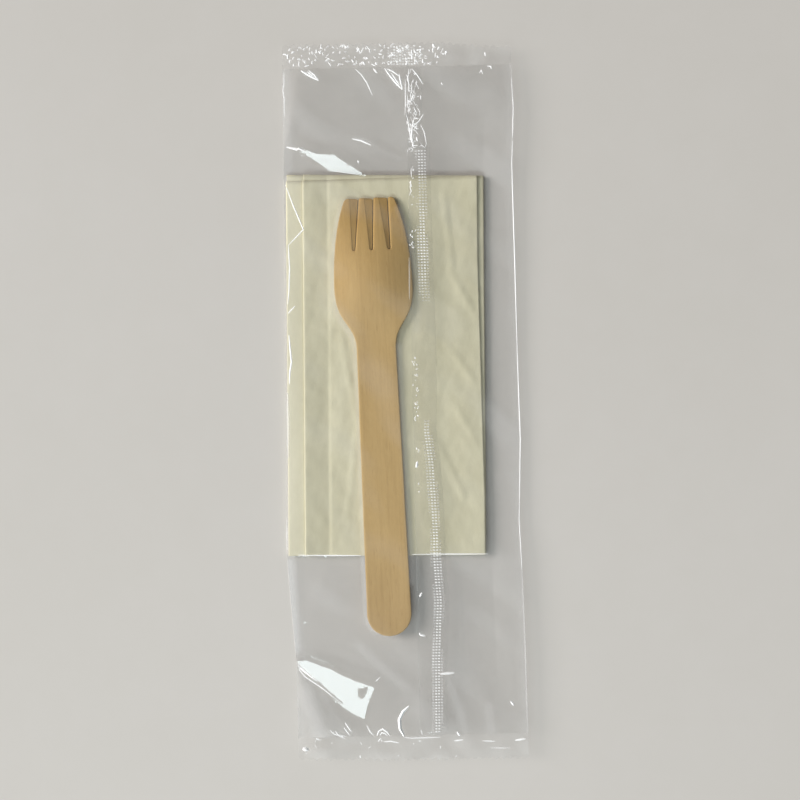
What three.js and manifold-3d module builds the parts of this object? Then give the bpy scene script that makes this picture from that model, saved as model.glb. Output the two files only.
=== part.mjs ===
// A sealed cutlery kit: a stamped wooden fork lies on a folded paper napkin in a clear film flow pack.
// Millimetres, +Z up. The pack lies on its back film with its length along Y and its fin seal on top,
// and the origin is on the floor under the middle of the pack.
import * as THREE from "three";
import { mergeVertices } from "three/addons/utils/BufferGeometryUtils.js";
import Module from "manifold-3d";

const wasm = await Module();
wasm.setup();

// Wooden fork: distances along it are measured from the tips
const FORK_LENGTH = 160;
const FORK_THICKNESS = 1.6;
const TIP_WIDTH = 17.8;
const TIP_CORNER = 1.4;
const TIP_FLARE = 2.9;
const TIP_FLARE_AT = 7;
const HEAD_WIDTH = 28.6;
const HEAD_WIDEST_AT = 33;
const HEAD_ROUND = 15;
const SHOULDER_ROUND = 12.6;
const NECK_WIDTH = 14.4;
const NECK_AT = 55;
const NECK_ROUND = 9.4;
const HANDLE_WIDTH = 16.2;
const SCOOP_DEPTH = 2.6;
const SCOOP_CENTRE_AT = 28;
const TINES = 4;
const TINE_TIP_WIDTH = 2.2;
const TINE_ROOT_WIDTH = 5.2;
const SLOT_LENGTH = 18.6;
const SLOT_ROOT_WIDTH = 1.2;
const FORK_TURN = THREE.MathUtils.degToRad(1.3);

// Paper napkin, folded once across and then in a zigzag of four double layers
const NAPKIN_LENGTH = 137.5;
const NAPKIN_WIDTH = 71;
const PAPER_LEAF = 0.17;
const LEAF_GAP = 0.12;
const LAYER_GAP = 0.16;
const TOP_PANEL_INSET_LEFT = 6;
const TOP_PANEL_INSET_RIGHT = 2.2;
const BOTTOM_PANEL_INSET_RIGHT = 0.6;
const NAPKIN_TURN = THREE.MathUtils.degToRad(-0.8);

// How the fork and the napkin lie in the pack
const NAPKIN_ABOVE_TIPS = 7.5;
const FORK_FROM_NAPKIN_EDGE = 32.5;
const SEAT_GAP = 0.3;
const TOP_SPACE = 40;
const BOTTOM_SPACE = 36;
const LEFT_SPACE = 1.2;
const RIGHT_SPACE = 10.7;

// Clear film
const FILM = 0.04;
const FILM_GAP = 0.4;
const SIDE_FOLD_HEIGHT = 1.4;
const END_SEAL = 7;
const SEAL_MOUTH = 0.05;
const CRIMP_RIDGES = 3;
const CRIMP_HEIGHT = 0.4;
const SAW_TOOTH_PITCH = 2.5;
const SAW_TOOTH_DEPTH = 1;
const END_LIFT = 3.2;
const RIGHT_CORNER_LIFT = 2.6;
const VENT_DIAMETER = 1;
const FIN_ROOT_X = 2.8;
const FIN_WIDTH = 8.4;
const FIN_ROOT_WELD = 0.8;
const FIN_ROOT_SINK = 0.1;
const FIN_STAND_OFF = 0.35;
const KNURL_BAND = 4.6;
const KNURL_RIDGES = 1;
const KNURL_HEIGHT = 0.2;
const CREASE_HALF_WIDTH = 6;
// Creases that run from the end seal at +Y or -Y into the pack, from x, leaning sideways as they go
const CREASES = [
  { end: 1, x: -30, lean: 0.35, length: 34, height: 0.9 },
  { end: 1, x: -12, lean: 0.2, length: 24, height: 0.7 },
  { end: 1, x: 16, lean: -0.2, length: 26, height: 0.8 },
  { end: 1, x: 31, lean: -0.45, length: 30, height: 0.7 },
  { end: -1, x: -27, lean: -0.5, length: 38, height: 1.3 },
  { end: -1, x: -6, lean: 0.15, length: 24, height: 0.8 },
  { end: -1, x: 17, lean: 0.1, length: 26, height: 0.9 },
  { end: -1, x: 33, lean: -0.2, length: 20, height: 0.6 },
];

// Mesh fineness
const FILM_CELL_X = 5.6;
const FILM_CELL_Y = 7.5;
const FORK_CELL = 2.6;
const CURVE_STEPS = 10;
const FOLD_STEPS = 5;
const RELAX_ROUNDS = 600;
const CUT_OVERRUN = 1;

// Napkin sizes that follow from its paper
const PAPER_LAYERS = 4;
const PAPER_LAYER = 2 * PAPER_LEAF + LEAF_GAP;
const LAYER_PITCH = PAPER_LAYER + LAYER_GAP;
const NAPKIN_THICKNESS = PAPER_LAYERS * PAPER_LAYER + (PAPER_LAYERS - 1) * LAYER_GAP;
const NAPKIN_SKEW_X = (NAPKIN_LENGTH / 2) * Math.abs(Math.sin(NAPKIN_TURN));
const NAPKIN_SKEW_Y = (NAPKIN_WIDTH / 2) * Math.abs(Math.sin(NAPKIN_TURN));

// The pack is as wide and as long as the contents and the space around them
const REACH_ABOVE_TIPS = Math.max(0, NAPKIN_ABOVE_TIPS + NAPKIN_SKEW_Y);
const REACH_BELOW_TIPS = Math.max(FORK_LENGTH, NAPKIN_LENGTH - NAPKIN_ABOVE_TIPS + NAPKIN_SKEW_Y);
const SEAL_TO_SEAL = TOP_SPACE + REACH_ABOVE_TIPS + REACH_BELOW_TIPS + BOTTOM_SPACE;
const SEAL_LINE = SEAL_TO_SEAL / 2;
const END_LINE = SEAL_LINE + END_SEAL;
const PACK_WIDTH = LEFT_SPACE + NAPKIN_WIDTH + 2 * NAPKIN_SKEW_X + RIGHT_SPACE;
const LEFT_EDGE = -PACK_WIDTH / 2;
const RIGHT_EDGE = PACK_WIDTH / 2;

// Where the contents lie in it
const CONTENTS_TOP = SEAL_LINE - TOP_SPACE;
const CONTENTS_BOTTOM = -SEAL_LINE + BOTTOM_SPACE;
const TIPS_Y = CONTENTS_TOP - REACH_ABOVE_TIPS;
const NAPKIN_SEAT = FILM + SEAT_GAP;
const FORK_SEAT = NAPKIN_SEAT + NAPKIN_THICKNESS + SEAT_GAP;
const NAPKIN_CENTRE = new THREE.Vector2(
  LEFT_EDGE + LEFT_SPACE + NAPKIN_SKEW_X + NAPKIN_WIDTH / 2,
  TIPS_Y + NAPKIN_ABOVE_TIPS - NAPKIN_LENGTH / 2,
);
const FORK_CENTRE = new THREE.Vector2(
  LEFT_EDGE + LEFT_SPACE + FORK_FROM_NAPKIN_EDGE,
  TIPS_Y - FORK_LENGTH / 2,
);

// Lines along the fin seal: the end of its weld, and the valleys and ridges of its knurl up to the free edge
const FIN_WELD_X = FIN_ROOT_X + FIN_ROOT_WELD;
const FIN_FREE_X = FIN_ROOT_X + FIN_WIDTH;
const KNURL_LINES = stepsBetween(FIN_FREE_X - KNURL_BAND, FIN_FREE_X, KNURL_BAND / (2 * KNURL_RIDGES));

// Even steps of about the given size, from one end to the other, both included.
function stepsBetween(from, to, size) {
  const count = Math.max(1, Math.round(Math.abs(to - from) / size));
  return Array.from({ length: count + 1 }, (_, k) => THREE.MathUtils.lerp(from, to, k / count));
}

// Joins stretches of steps that share their ends.
function joinSteps(...stretches) {
  return stretches.flatMap((steps, k) => (k ? steps.slice(1) : steps));
}

// A closed mesh as a solid that can be cut and joined.
function solidFrom(geometry) {
  const bare = geometry.clone();
  bare.deleteAttribute("normal");
  bare.deleteAttribute("uv");
  const merged = mergeVertices(bare, 1e-5);
  return new wasm.Manifold(
    new wasm.Mesh({
      numProp: 3,
      vertProperties: new Float32Array(merged.attributes.position.array),
      triVerts: new Uint32Array(merged.index.array),
    }),
  );
}

// A solid as flat-shaded geometry.
function geometryFrom(solid) {
  const mesh = solid.getMesh();
  const geometry = new THREE.BufferGeometry();
  geometry.setAttribute("position", new THREE.BufferAttribute(mesh.vertProperties, 3));
  geometry.setIndex(new THREE.BufferAttribute(mesh.triVerts, 1));
  const flat = geometry.toNonIndexed();
  flat.computeVertexNormals();
  return flat;
}

// A slab over the grid of xs and ys, from the height lower(i, j) up to the height upper(i, j).
function slabBetween(xs, ys, lower, upper) {
  const box = new THREE.BoxGeometry(1, 1, 1, xs.length - 1, ys.length - 1, 1);
  const place = box.attributes.position;
  for (let k = 0; k < place.count; k++) {
    const i = Math.round((place.getX(k) + 0.5) * (xs.length - 1));
    const j = Math.round((place.getY(k) + 0.5) * (ys.length - 1));
    const height = place.getZ(k) > 0 ? upper(i, j) : lower(i, j);
    place.setXYZ(k, xs[i], ys[j], height);
  }
  return solidFrom(box);
}

// A point of the pack in the frame of a piece that is turned about its own centre.
function inFrameOf(centre, turn, x, y) {
  return new THREE.Vector2(x, y).sub(centre).rotateAround(new THREE.Vector2(), -turn);
}

// The right-hand side of the fork's outline, with Y as the distance from the tips.
function forkSide() {
  const tip = TIP_WIDTH / 2;
  const head = HEAD_WIDTH / 2;
  const neck = NECK_WIDTH / 2;
  const end = HANDLE_WIDTH / 2;
  const flared = tip + (TIP_FLARE * TIP_CORNER) / TIP_FLARE_AT;
  const side = new THREE.Path();
  side.moveTo(0, 0);
  side.lineTo(tip - TIP_CORNER, 0);
  side.quadraticCurveTo(tip, 0, flared, TIP_CORNER);
  side.bezierCurveTo(
    tip + TIP_FLARE, TIP_FLARE_AT,
    head, HEAD_WIDEST_AT - HEAD_ROUND,
    head, HEAD_WIDEST_AT,
  );
  side.bezierCurveTo(
    head, HEAD_WIDEST_AT + SHOULDER_ROUND,
    neck, NECK_AT - NECK_ROUND,
    neck, NECK_AT,
  );
  side.lineTo(end, FORK_LENGTH - end);
  side.absarc(0, FORK_LENGTH - end, end, 0, Math.PI / 2, false);
  return side.getPoints(CURVE_STEPS);
}

const FORK_SIDE = forkSide();

// Half of the fork's width at a distance from the tips.
function forkHalfWidth(distance) {
  for (let k = 1; k < FORK_SIDE.length; k++) {
    const [a, b] = [FORK_SIDE[k - 1], FORK_SIDE[k]];
    if (b.y > a.y && distance <= b.y) {
      return THREE.MathUtils.mapLinear(Math.max(distance, a.y), a.y, b.y, a.x, b.x);
    }
  }
  return 0;
}

// How far the pressed head stands above the plane of the handle. The hollow of the scoop is below.
function scoopRise(across, distance) {
  const fromTips = THREE.MathUtils.clamp(distance / SCOOP_CENTRE_AT, 0, 1);
  const toNeck = THREE.MathUtils.clamp((distance - SCOOP_CENTRE_AT) / (NECK_AT - SCOOP_CENTRE_AT), 0, 1);
  const along = Math.sin((Math.PI / 2) * fromTips) * Math.cos((Math.PI / 2) * toNeck) ** 2;
  const over = 1 - Math.min(1, Math.abs(across) / (HEAD_WIDTH / 2)) ** 2;
  return SCOOP_DEPTH * along * over;
}

// A straight-sided cutter through the whole fork, in its own frame with the handle down -Y.
function forkCutter(shape) {
  const height = FORK_THICKNESS + SCOOP_DEPTH;
  const prism = new THREE.ExtrudeGeometry(shape, {
    depth: height + 2 * CUT_OVERRUN,
    bevelEnabled: false,
    curveSegments: CURVE_STEPS,
  });
  return solidFrom(prism.translate(0, 0, -CUT_OVERRUN));
}

// The tapered gap to the right of one tine, counted from the left.
function tineSlot(tine) {
  const fromMiddle = tine - (TINES - 2) / 2;
  const tipGap = (TIP_WIDTH - TINES * TINE_TIP_WIDTH) / (TINES - 1);
  const tipX = fromMiddle * (tipGap + TINE_TIP_WIDTH);
  const rootX = fromMiddle * (SLOT_ROOT_WIDTH + TINE_ROOT_WIDTH);
  const rootRadius = SLOT_ROOT_WIDTH / 2;
  const rootY = rootRadius - SLOT_LENGTH;
  const shape = new THREE.Shape();
  shape.moveTo(rootX + rootRadius, rootY);
  shape.lineTo(tipX + tipGap / 2, 0);
  shape.lineTo(tipX + tipGap / 2, CUT_OVERRUN);
  shape.lineTo(tipX - tipGap / 2, CUT_OVERRUN);
  shape.lineTo(tipX - tipGap / 2, 0);
  shape.lineTo(rootX - rootRadius, rootY);
  shape.absarc(rootX, rootY, rootRadius, Math.PI, 2 * Math.PI, false);
  return forkCutter(shape);
}

// The fork: a pressed veneer blank, stamped to its outline, with the tines cut apart.
function woodenFork() {
  const half = HEAD_WIDTH / 2 + FORK_CELL;
  const xs = stepsBetween(-half, half, FORK_CELL);
  const ys = [-FORK_LENGTH - FORK_CELL, ...stepsBetween(-NECK_AT, FORK_CELL, FORK_CELL)];
  const rise = (i, j) => scoopRise(xs[i], -ys[j]);
  const blank = slabBetween(xs, ys, rise, (i, j) => rise(i, j) + FORK_THICKNESS);
  const outline = new THREE.Shape([
    ...FORK_SIDE.map((p) => new THREE.Vector2(p.x, -p.y)),
    ...FORK_SIDE.slice(1, -1).reverse().map((p) => new THREE.Vector2(-p.x, -p.y)),
  ]);
  let fork = blank.intersect(forkCutter(outline));
  for (let tine = 0; tine < TINES - 1; tine++) {
    fork = fork.subtract(tineSlot(tine));
  }
  return geometryFrom(fork);
}

// The section of a strip of the given thickness that is folded in a zigzag like the napkin's layers.
function zigzagSection(thickness, endOverrun) {
  const half = thickness / 2;
  const bend = LAYER_PITCH / 2;
  const foldReach = bend + PAPER_LAYER / 2;
  const level = (layer) => PAPER_LAYER / 2 + layer * LAYER_PITCH;
  const left = -NAPKIN_WIDTH / 2 + foldReach;
  const right = NAPKIN_WIDTH / 2 - foldReach;
  const upperLeft = left + TOP_PANEL_INSET_LEFT;
  const bottomEnd = NAPKIN_WIDTH / 2 - BOTTOM_PANEL_INSET_RIGHT + endOverrun;
  const topEnd = NAPKIN_WIDTH / 2 - TOP_PANEL_INSET_RIGHT + endOverrun;
  const up = Math.PI / 2;
  const shape = new THREE.Shape();
  shape.moveTo(bottomEnd, level(0) - half);
  shape.lineTo(left, level(0) - half);
  shape.absarc(left, level(0) + bend, bend + half, 3 * up, up, true);
  shape.lineTo(right, level(1) + half);
  shape.absarc(right, level(1) + bend, bend - half, -up, up, false);
  shape.lineTo(upperLeft, level(2) - half);
  shape.absarc(upperLeft, level(2) + bend, bend + half, 3 * up, up, true);
  shape.lineTo(topEnd, level(3) + half);
  shape.lineTo(topEnd, level(3) - half);
  shape.lineTo(upperLeft, level(3) - half);
  shape.absarc(upperLeft, level(2) + bend, bend - half, up, 3 * up, false);
  shape.lineTo(right, level(2) + half);
  shape.absarc(right, level(1) + bend, bend + half, up, -up, true);
  shape.lineTo(left, level(1) - half);
  shape.absarc(left, level(0) + bend, bend - half, up, 3 * up, false);
  shape.lineTo(bottomEnd, level(0) + half);
  return shape;
}

// A section drawn out along -Y from the given start.
function drawnAlongPack(section, start, length) {
  const drawn = new THREE.ExtrudeGeometry(section, {
    depth: length,
    bevelEnabled: false,
    curveSegments: FOLD_STEPS,
  });
  return solidFrom(drawn.rotateX(Math.PI / 2).translate(0, start, 0));
}

// The napkin: each layer is two leaves, apart at the top and along the sides, and joined in the bottom fold.
function foldedNapkin() {
  const top = NAPKIN_LENGTH / 2;
  const layers = drawnAlongPack(zigzagSection(PAPER_LAYER, 0), top, NAPKIN_LENGTH);
  const betweenLeaves = drawnAlongPack(
    zigzagSection(LEAF_GAP, CUT_OVERRUN),
    top + CUT_OVERRUN,
    NAPKIN_LENGTH + CUT_OVERRUN - PAPER_LEAF,
  );
  return geometryFrom(layers.subtract(betweenLeaves));
}

// Columns of the film's mesh: its folds, the napkin's sides and the fin seal, with even steps between them.
function filmColumns() {
  const napkinLeft = LEFT_EDGE + LEFT_SPACE / 2;
  const napkinRight = RIGHT_EDGE - RIGHT_SPACE + FILM_GAP;
  const lines = [LEFT_EDGE, napkinLeft, FIN_ROOT_X, FIN_WELD_X, ...KNURL_LINES, napkinRight, RIGHT_EDGE];
  lines.sort((a, b) => a - b);
  return joinSteps(...lines.slice(1).map((x, k) => stepsBetween(lines[k], x, FILM_CELL_X)));
}

// Rows of the film's mesh: two for each crimp ridge in the end seals, and even steps between the seals.
function filmRows() {
  const halfRidge = END_SEAL / (2 * CRIMP_RIDGES);
  return joinSteps(
    stepsBetween(-END_LINE, -SEAL_LINE, halfRidge),
    stepsBetween(-SEAL_LINE, SEAL_LINE, FILM_CELL_Y),
    stepsBetween(SEAL_LINE, END_LINE, halfRidge),
  );
}

// How far the back film has risen off the floor: flat under the contents, up towards the end seals.
function backFilmLift(x, y) {
  const flatEnd = FILM_CELL_Y + (y > 0 ? CONTENTS_TOP : -CONTENTS_BOTTOM);
  const ramp = THREE.MathUtils.smoothstep(Math.abs(y), flatEnd, SEAL_LINE);
  const corner = THREE.MathUtils.smoothstep(x, 0, RIGHT_EDGE);
  return ramp * (END_LIFT + RIGHT_CORNER_LIFT * corner);
}

// Whether the fork, grown by a cell of the film's mesh, is under a point in its frame.
function nearFork(across, distance) {
  const reaches = [-FILM_CELL_Y, 0, FILM_CELL_Y].map((step) => {
    const along = distance + step;
    return along < 0 || along > FORK_LENGTH ? -Infinity : forkHalfWidth(along);
  });
  return Math.abs(across) < Math.max(...reaches) + FILM_CELL_X;
}

// The height that the front film has to clear, with the contents grown by a cell of its mesh.
function contentsTop(x, y) {
  const onFork = inFrameOf(FORK_CENTRE, FORK_TURN, x, y);
  const distance = FORK_LENGTH / 2 - onFork.y;
  if (nearFork(onFork.x, distance)) {
    return FORK_SEAT + FORK_THICKNESS + scoopRise(onFork.x, distance) + FILM_GAP;
  }
  const onNapkin = inFrameOf(NAPKIN_CENTRE, NAPKIN_TURN, x, y);
  const beside = Math.abs(onNapkin.x) - NAPKIN_WIDTH / 2;
  const beyond = Math.abs(onNapkin.y) - NAPKIN_LENGTH / 2;
  return beside < FILM_CELL_X && beyond < FILM_CELL_Y ? NAPKIN_SEAT + NAPKIN_THICKNESS + FILM_GAP : 0;
}

// The rise of the creases that fan out from the end seals.
function creaseRise(x, y) {
  const rises = CREASES.map((crease) => {
    const along = SEAL_LINE - crease.end * y;
    const across = Math.abs(x - crease.x - crease.lean * along);
    const fade = Math.max(0, 1 - along / crease.length);
    return crease.height * fade * Math.max(0, 1 - across / CREASE_HALF_WIDTH);
  });
  return Math.max(...rises);
}

// The front film as a taut sheet from fold to fold and from seal to seal that rests on the contents:
// each point settles at the mean of its neighbours, and never below what it has to clear.
function frontFilm(xs, ys, back) {
  const lastX = xs.length - 1;
  const lastY = ys.length - 1;
  const isFold = (i) => i === 0 || i === lastX;
  const isSeal = (j) => Math.abs(ys[j]) > SEAL_LINE - FILM;
  const lowest = (i, j) => {
    if (isSeal(j)) {
      const mouth = Math.abs(ys[j]) < SEAL_LINE + FILM ? SEAL_MOUTH : 0;
      return back(i, j) + 2 * FILM + mouth;
    }
    const fold = back(i, j) + SIDE_FOLD_HEIGHT;
    return isFold(i) ? fold : Math.max(fold, contentsTop(xs[i], ys[j]));
  };
  const floor = ys.map((_, j) => xs.map((_, i) => lowest(i, j)));
  const height = floor.map((row) => [...row]);
  const settle = (i, j) => {
    const west = 1 / (xs[i] - xs[i - 1]);
    const east = 1 / (xs[i + 1] - xs[i]);
    const south = 1 / (ys[j] - ys[j - 1]);
    const north = 1 / (ys[j + 1] - ys[j]);
    const across = west * height[j][i - 1] + east * height[j][i + 1];
    const along = south * height[j - 1][i] + north * height[j + 1][i];
    height[j][i] = Math.max(floor[j][i], (across + along) / (west + east + south + north));
  };
  for (let round = 0; round < RELAX_ROUNDS; round++) {
    for (let j = 1; j < lastY; j++) {
      for (let i = 1; i < lastX; i++) {
        if (!isSeal(j)) settle(i, j);
      }
    }
  }
  return (i, j) => height[j][i] + (isFold(i) || isSeal(j) ? 0 : creaseRise(xs[i], ys[j]));
}

// A zigzag blade that trims one end of the pack, at +Y or -Y.
function sawBlade(end) {
  const teeth = Math.ceil(PACK_WIDTH / SAW_TOOTH_PITCH) + 1;
  const left = (-teeth * SAW_TOOTH_PITCH) / 2;
  const outside = end * (END_LINE + END_SEAL);
  const shape = new THREE.Shape();
  shape.moveTo(left, outside);
  for (let k = 0; k <= 2 * teeth; k++) {
    const depth = k % 2 ? SAW_TOOTH_DEPTH : 0;
    shape.lineTo(left + (k * SAW_TOOTH_PITCH) / 2, end * (END_LINE - depth));
  }
  shape.lineTo(-left, outside);
  const height = END_LIFT + RIGHT_CORNER_LIFT + CRIMP_HEIGHT;
  const blade = new THREE.ExtrudeGeometry(shape, { depth: height + 2 * CUT_OVERRUN, bevelEnabled: false });
  return solidFrom(blade.translate(0, 0, -CUT_OVERRUN));
}

// The two films of the fin seal, welded to the front film at the root and in the end seals.
function finSeal(xs, ys, front) {
  const first = xs.indexOf(FIN_ROOT_X);
  const finXs = xs.filter((x) => x >= FIN_ROOT_X && x <= FIN_FREE_X);
  const standOff = (x, y) => {
    if (Math.abs(y) > SEAL_LINE - FILM) return -FILM / 2;
    if (x <= FIN_WELD_X) return -FIN_ROOT_SINK;
    return FIN_STAND_OFF + (KNURL_LINES.indexOf(x) % 2 === 1 ? KNURL_HEIGHT : 0);
  };
  const under = (i, j) => front(i + first, j) + standOff(finXs[i], ys[j]);
  return slabBetween(finXs, ys, under, (i, j) => under(i, j) + 2 * FILM);
}

// The pin hole in the back film that lets the air out.
function ventCutter() {
  const x = LEFT_EDGE / 2;
  const y = CONTENTS_BOTTOM - BOTTOM_SPACE / 2;
  const pin = new THREE.CylinderGeometry(VENT_DIAMETER / 2, VENT_DIAMETER / 2, SIDE_FOLD_HEIGHT, CURVE_STEPS);
  return solidFrom(pin.rotateX(Math.PI / 2).translate(x, y, backFilmLift(x, y)));
}

// The pack: one web of film, folded at both sides, fin-sealed along the front and crimped at both ends.
function filmWrapper() {
  const xs = filmColumns();
  const ys = filmRows();
  const crimp = (j) => {
    const halfRidges = Math.round((Math.abs(ys[j]) - SEAL_LINE) / (END_SEAL / (2 * CRIMP_RIDGES)));
    return halfRidges > 0 && halfRidges % 2 ? CRIMP_HEIGHT : 0;
  };
  const back = (i, j) => backFilmLift(xs[i], ys[j]) + crimp(j);
  const front = frontFilm(xs, ys, back);
  const insideXs = [LEFT_EDGE + FILM, ...xs.slice(1, -1), RIGHT_EDGE - FILM];
  const insideYs = ys.filter((y) => Math.abs(y) <= SEAL_LINE);
  const firstRow = ys.indexOf(insideYs[0]);
  const inside = slabBetween(
    insideXs,
    insideYs,
    (i, j) => back(i, j + firstRow) + FILM,
    (i, j) => front(i, j + firstRow) - FILM,
  );
  const tube = slabBetween(xs, ys, back, front).subtract(inside);
  const pack = tube.add(finSeal(xs, ys, front)).subtract(ventCutter());
  return geometryFrom(pack.subtract(sawBlade(1)).subtract(sawBlade(-1)));
}

// One named piece, placed by its centre on the plan, its turn and the height of its seat.
function piece(name, geometry, material, centre, turn, seat) {
  const mesh = new THREE.Mesh(geometry, material);
  mesh.name = name;
  mesh.position.set(centre.x, centre.y, seat);
  mesh.rotation.z = turn;
  return mesh;
}

const wood = new THREE.MeshStandardMaterial({ color: 0xb99c68, roughness: 0.7, metalness: 0 });
const paper = new THREE.MeshStandardMaterial({ color: 0xd8d2b4, roughness: 0.95, metalness: 0 });
const clearFilm = new THREE.MeshStandardMaterial({
  color: 0xf2f2f0,
  roughness: 0.08,
  metalness: 0,
  transparent: true,
  opacity: 0.2,
});

const forkGeometry = woodenFork().translate(0, FORK_LENGTH / 2, 0);

const kit = new THREE.Group();
kit.add(piece("wooden_fork", forkGeometry, wood, FORK_CENTRE, FORK_TURN, FORK_SEAT));
kit.add(piece("folded_napkin", foldedNapkin(), paper, NAPKIN_CENTRE, NAPKIN_TURN, NAPKIN_SEAT));
kit.add(piece("film_wrapper", filmWrapper(), clearFilm, new THREE.Vector2(), 0, 0));

export default kit;
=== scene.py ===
import math
from typing import NamedTuple

import bpy
import numpy as np
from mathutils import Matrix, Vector
from mathutils.geometry import delaunay_2d_cdt


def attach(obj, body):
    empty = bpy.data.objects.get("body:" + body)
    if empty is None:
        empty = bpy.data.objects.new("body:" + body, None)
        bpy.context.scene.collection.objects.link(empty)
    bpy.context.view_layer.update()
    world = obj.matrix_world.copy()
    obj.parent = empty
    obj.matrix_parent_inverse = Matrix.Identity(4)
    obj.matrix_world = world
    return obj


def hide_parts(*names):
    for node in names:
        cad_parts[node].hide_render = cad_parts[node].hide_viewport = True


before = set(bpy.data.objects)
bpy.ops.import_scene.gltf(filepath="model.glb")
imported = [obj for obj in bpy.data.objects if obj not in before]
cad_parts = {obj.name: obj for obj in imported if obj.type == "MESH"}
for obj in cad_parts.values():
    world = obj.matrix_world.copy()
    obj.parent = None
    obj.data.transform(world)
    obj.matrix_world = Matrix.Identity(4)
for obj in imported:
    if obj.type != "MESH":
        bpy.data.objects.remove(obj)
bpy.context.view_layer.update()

# Sizes are in millimetres in the pack's frame: +Y towards the fork's tips, +Z up from the table.
MM = 0.001
SAME_PLACE = 1e-5
ROUNDING = 1e-6

# Wooden fork: distances along it are measured from the tips
FORK_LENGTH = 160
FORK_THICKNESS = 1.6
TIP_WIDTH = 17.8
TIP_CORNER = 1.1
TIP_FLARE = 2.9
TIP_FLARE_AT = 7
HEAD_WIDTH = 28.6
HEAD_WIDEST_AT = 33
HEAD_ROUND = 15
SHOULDER_ROUND = 12.6
NECK_WIDTH = 14.4
NECK_AT = 55
NECK_ROUND = 9.4
HANDLE_WIDTH = 16.2
SCOOP_DEPTH = 2.7
SCOOP_CENTRE_AT = 28
TINES = 4
TINE_TIP_WIDTH = 1.8
TINE_ROOT_WIDTH = 5.2
TINE_CORNER = 0.65
SLOT_LENGTH = 19.2
SLOT_ROOT_WIDTH = 1.2
SLOT_SLANT_RIGHT = 2.95
SLOT_SLANT_LEFT = 0.4
SLOT_SLANT_DEPTH = 0.6
SLOT_SLANT_EASE = 0.74
SLOT_LIP = 0.1
SLOT_CRISPNESS = 0.8
FORK_EDGE_ROUND = 0.42
FORK_CENTRE = (-9.3, -5.6)
FORK_TURN = math.radians(1.55)
FORK_SEAT = 2.96
FORK_EDGE_STEP = 0.7
FORK_CELL = 1.3
BIRCH_LIGHT = (0.565, 0.39, 0.172)
BIRCH_DARK = (0.485, 0.325, 0.132)
BIRCH_TINTS = [
    (0.03, (0.88, 0.82, 0.66)),
    (0.28, (1.0, 1.0, 1.0)),
    (0.75, (1.0, 1.0, 1.0)),
    (0.97, (0.92, 0.91, 0.95)),
]
EDGE_ROUND_STEPS = 4
TIP_CORNER_STEPS = 6
TINE_CORNER_STEPS = 4
SLOT_ROOT_STEPS = 8
SIDE_STEPS = 24
HANDLE_STEPS = 20

# Paper napkin: folded once across, then in a zigzag of four double layers
NAPKIN_LENGTH = 139
NAPKIN_WIDTH = 69.8
PAPER_LEAF = 0.17
LEAF_GAP = 0.12
LAYER_GAP = 0.16
NAPKIN_CENTRE = (-5.35, 13.25)
NAPKIN_TURN = math.radians(-0.8)
NAPKIN_SEAT = 0.34
NAPKIN_THICKNESS = 2.32
TOP_PANEL_INSET_LEFT = 3.5
LOWER_REACH_LEFT = 2.6
LOWER_PUFF = 0.55
BOTTOM_PANEL_INSET_RIGHT = 0.6
TOP_LEAF_DROP = 2.4
TOP_EDGE_SKEW = 0.8
FREE_EDGE_INSET = 0.3
FREE_EDGE_SKEW_AT = (-49, 39)
FREE_EDGE_SKEW = (0.0, 2.0)
FOLD_PUFF = 0.6
FOLD_DIP = -0.25
PUFF_GROWTH = 0.5
PUFF_GROWS_OVER = (-10, 45)
PRESS_LINE_X = -22.35
PRESS_LINE_WIDTH = 0.8
PRESS_LINE_DIP = -0.07
PRESS_LINE_FADES_OVER = 4
PAPER_LIGHT = (0.665, 0.63, 0.475)
PAPER_DARK = (0.585, 0.55, 0.40)
# Height, stretch along the napkin, wavelength and seed of each set of waves
PAPER_WAVES = ((0.11, 0.35, 13, 21), (0.07, 0.7, 8, 22), (0.06, 1.0, 4.5, 23))
PAPER_CREASE_HEIGHT = 0.2
PAPER_CREASE_REACH = 2.2
PAPER_CREASES = [
    [(22.6, 33.0), (31.6, 18.0)],
    [(20.1, 62.0), (23.1, 36.0)],
    [(20.6, 8.0), (30.6, -6.0)],
    [(24.6, -16.0), (32.1, -30.0)],
    [(18.1, -30.0), (26.6, -48.0)],
    [(-11.4, -20.0), (-15.9, -55.0)],
    [(-17.4, 10.0), (-12.4, -18.0)],
]

# Clear film
PACK_HALF_WIDTH = 42.41
SEAL_LINE = 122.0
END_LINE = 129.0
CONTENTS_TOP = 82.0
CONTENTS_BOTTOM = -86.0
FLAT_MARGIN = 7.5
FILM = 0.04
FILM_GAP = 0.25
FILM_FORK_MARGIN = 0.3
LOWEST_FILM = 0.1
FILM_SLOPE = 0.1
LEFT_RAMP = 0.24
SEAM_OPENING = 0.14
SEAM_OPENS_OVER = 9
END_SLACK = 0.3
SEAM_PUCKER = 0.08
SIDES_TAUT_OVER = (32, 39)
TAUT_STEPS = (16, 8, 4, 2, 1)
TAUT_ROUNDS = 160
FILM_COLUMNS = 128
FILM_ROWS = 368
BACK_COLUMNS = 24
FOLD_STEPS = 7
LEFT_FOLD_ROUND = 0.12
RIGHT_FOLD_ROUND = 0.22
FLAT_FOLD_ROUND = 0.05
FOLD_FLATTENS_OVER = 16
LEFT_FOLD_AT = (-124, -95, -58, -20, 15, 50, 86, 124)
LEFT_FOLD_OUT = (-0.9, -0.5, 2.1, 1.55, 1.1, 0.65, 0.4, -0.3)
RIGHT_FOLD_AT = (-124, -91, -58, -44, -15, 18, 51, 86, 106, 124)
RIGHT_FOLD_INSET = (0.0, 0.2, 0.9, 1.3, 0.2, 0.7, 0.9, 1.3, 0.4, 1.1)
END_LIFT = 3.8
RIGHT_LIFT_AT = (-122, -58, -37, -15, 25, 60, 77, 91, 122)
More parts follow.
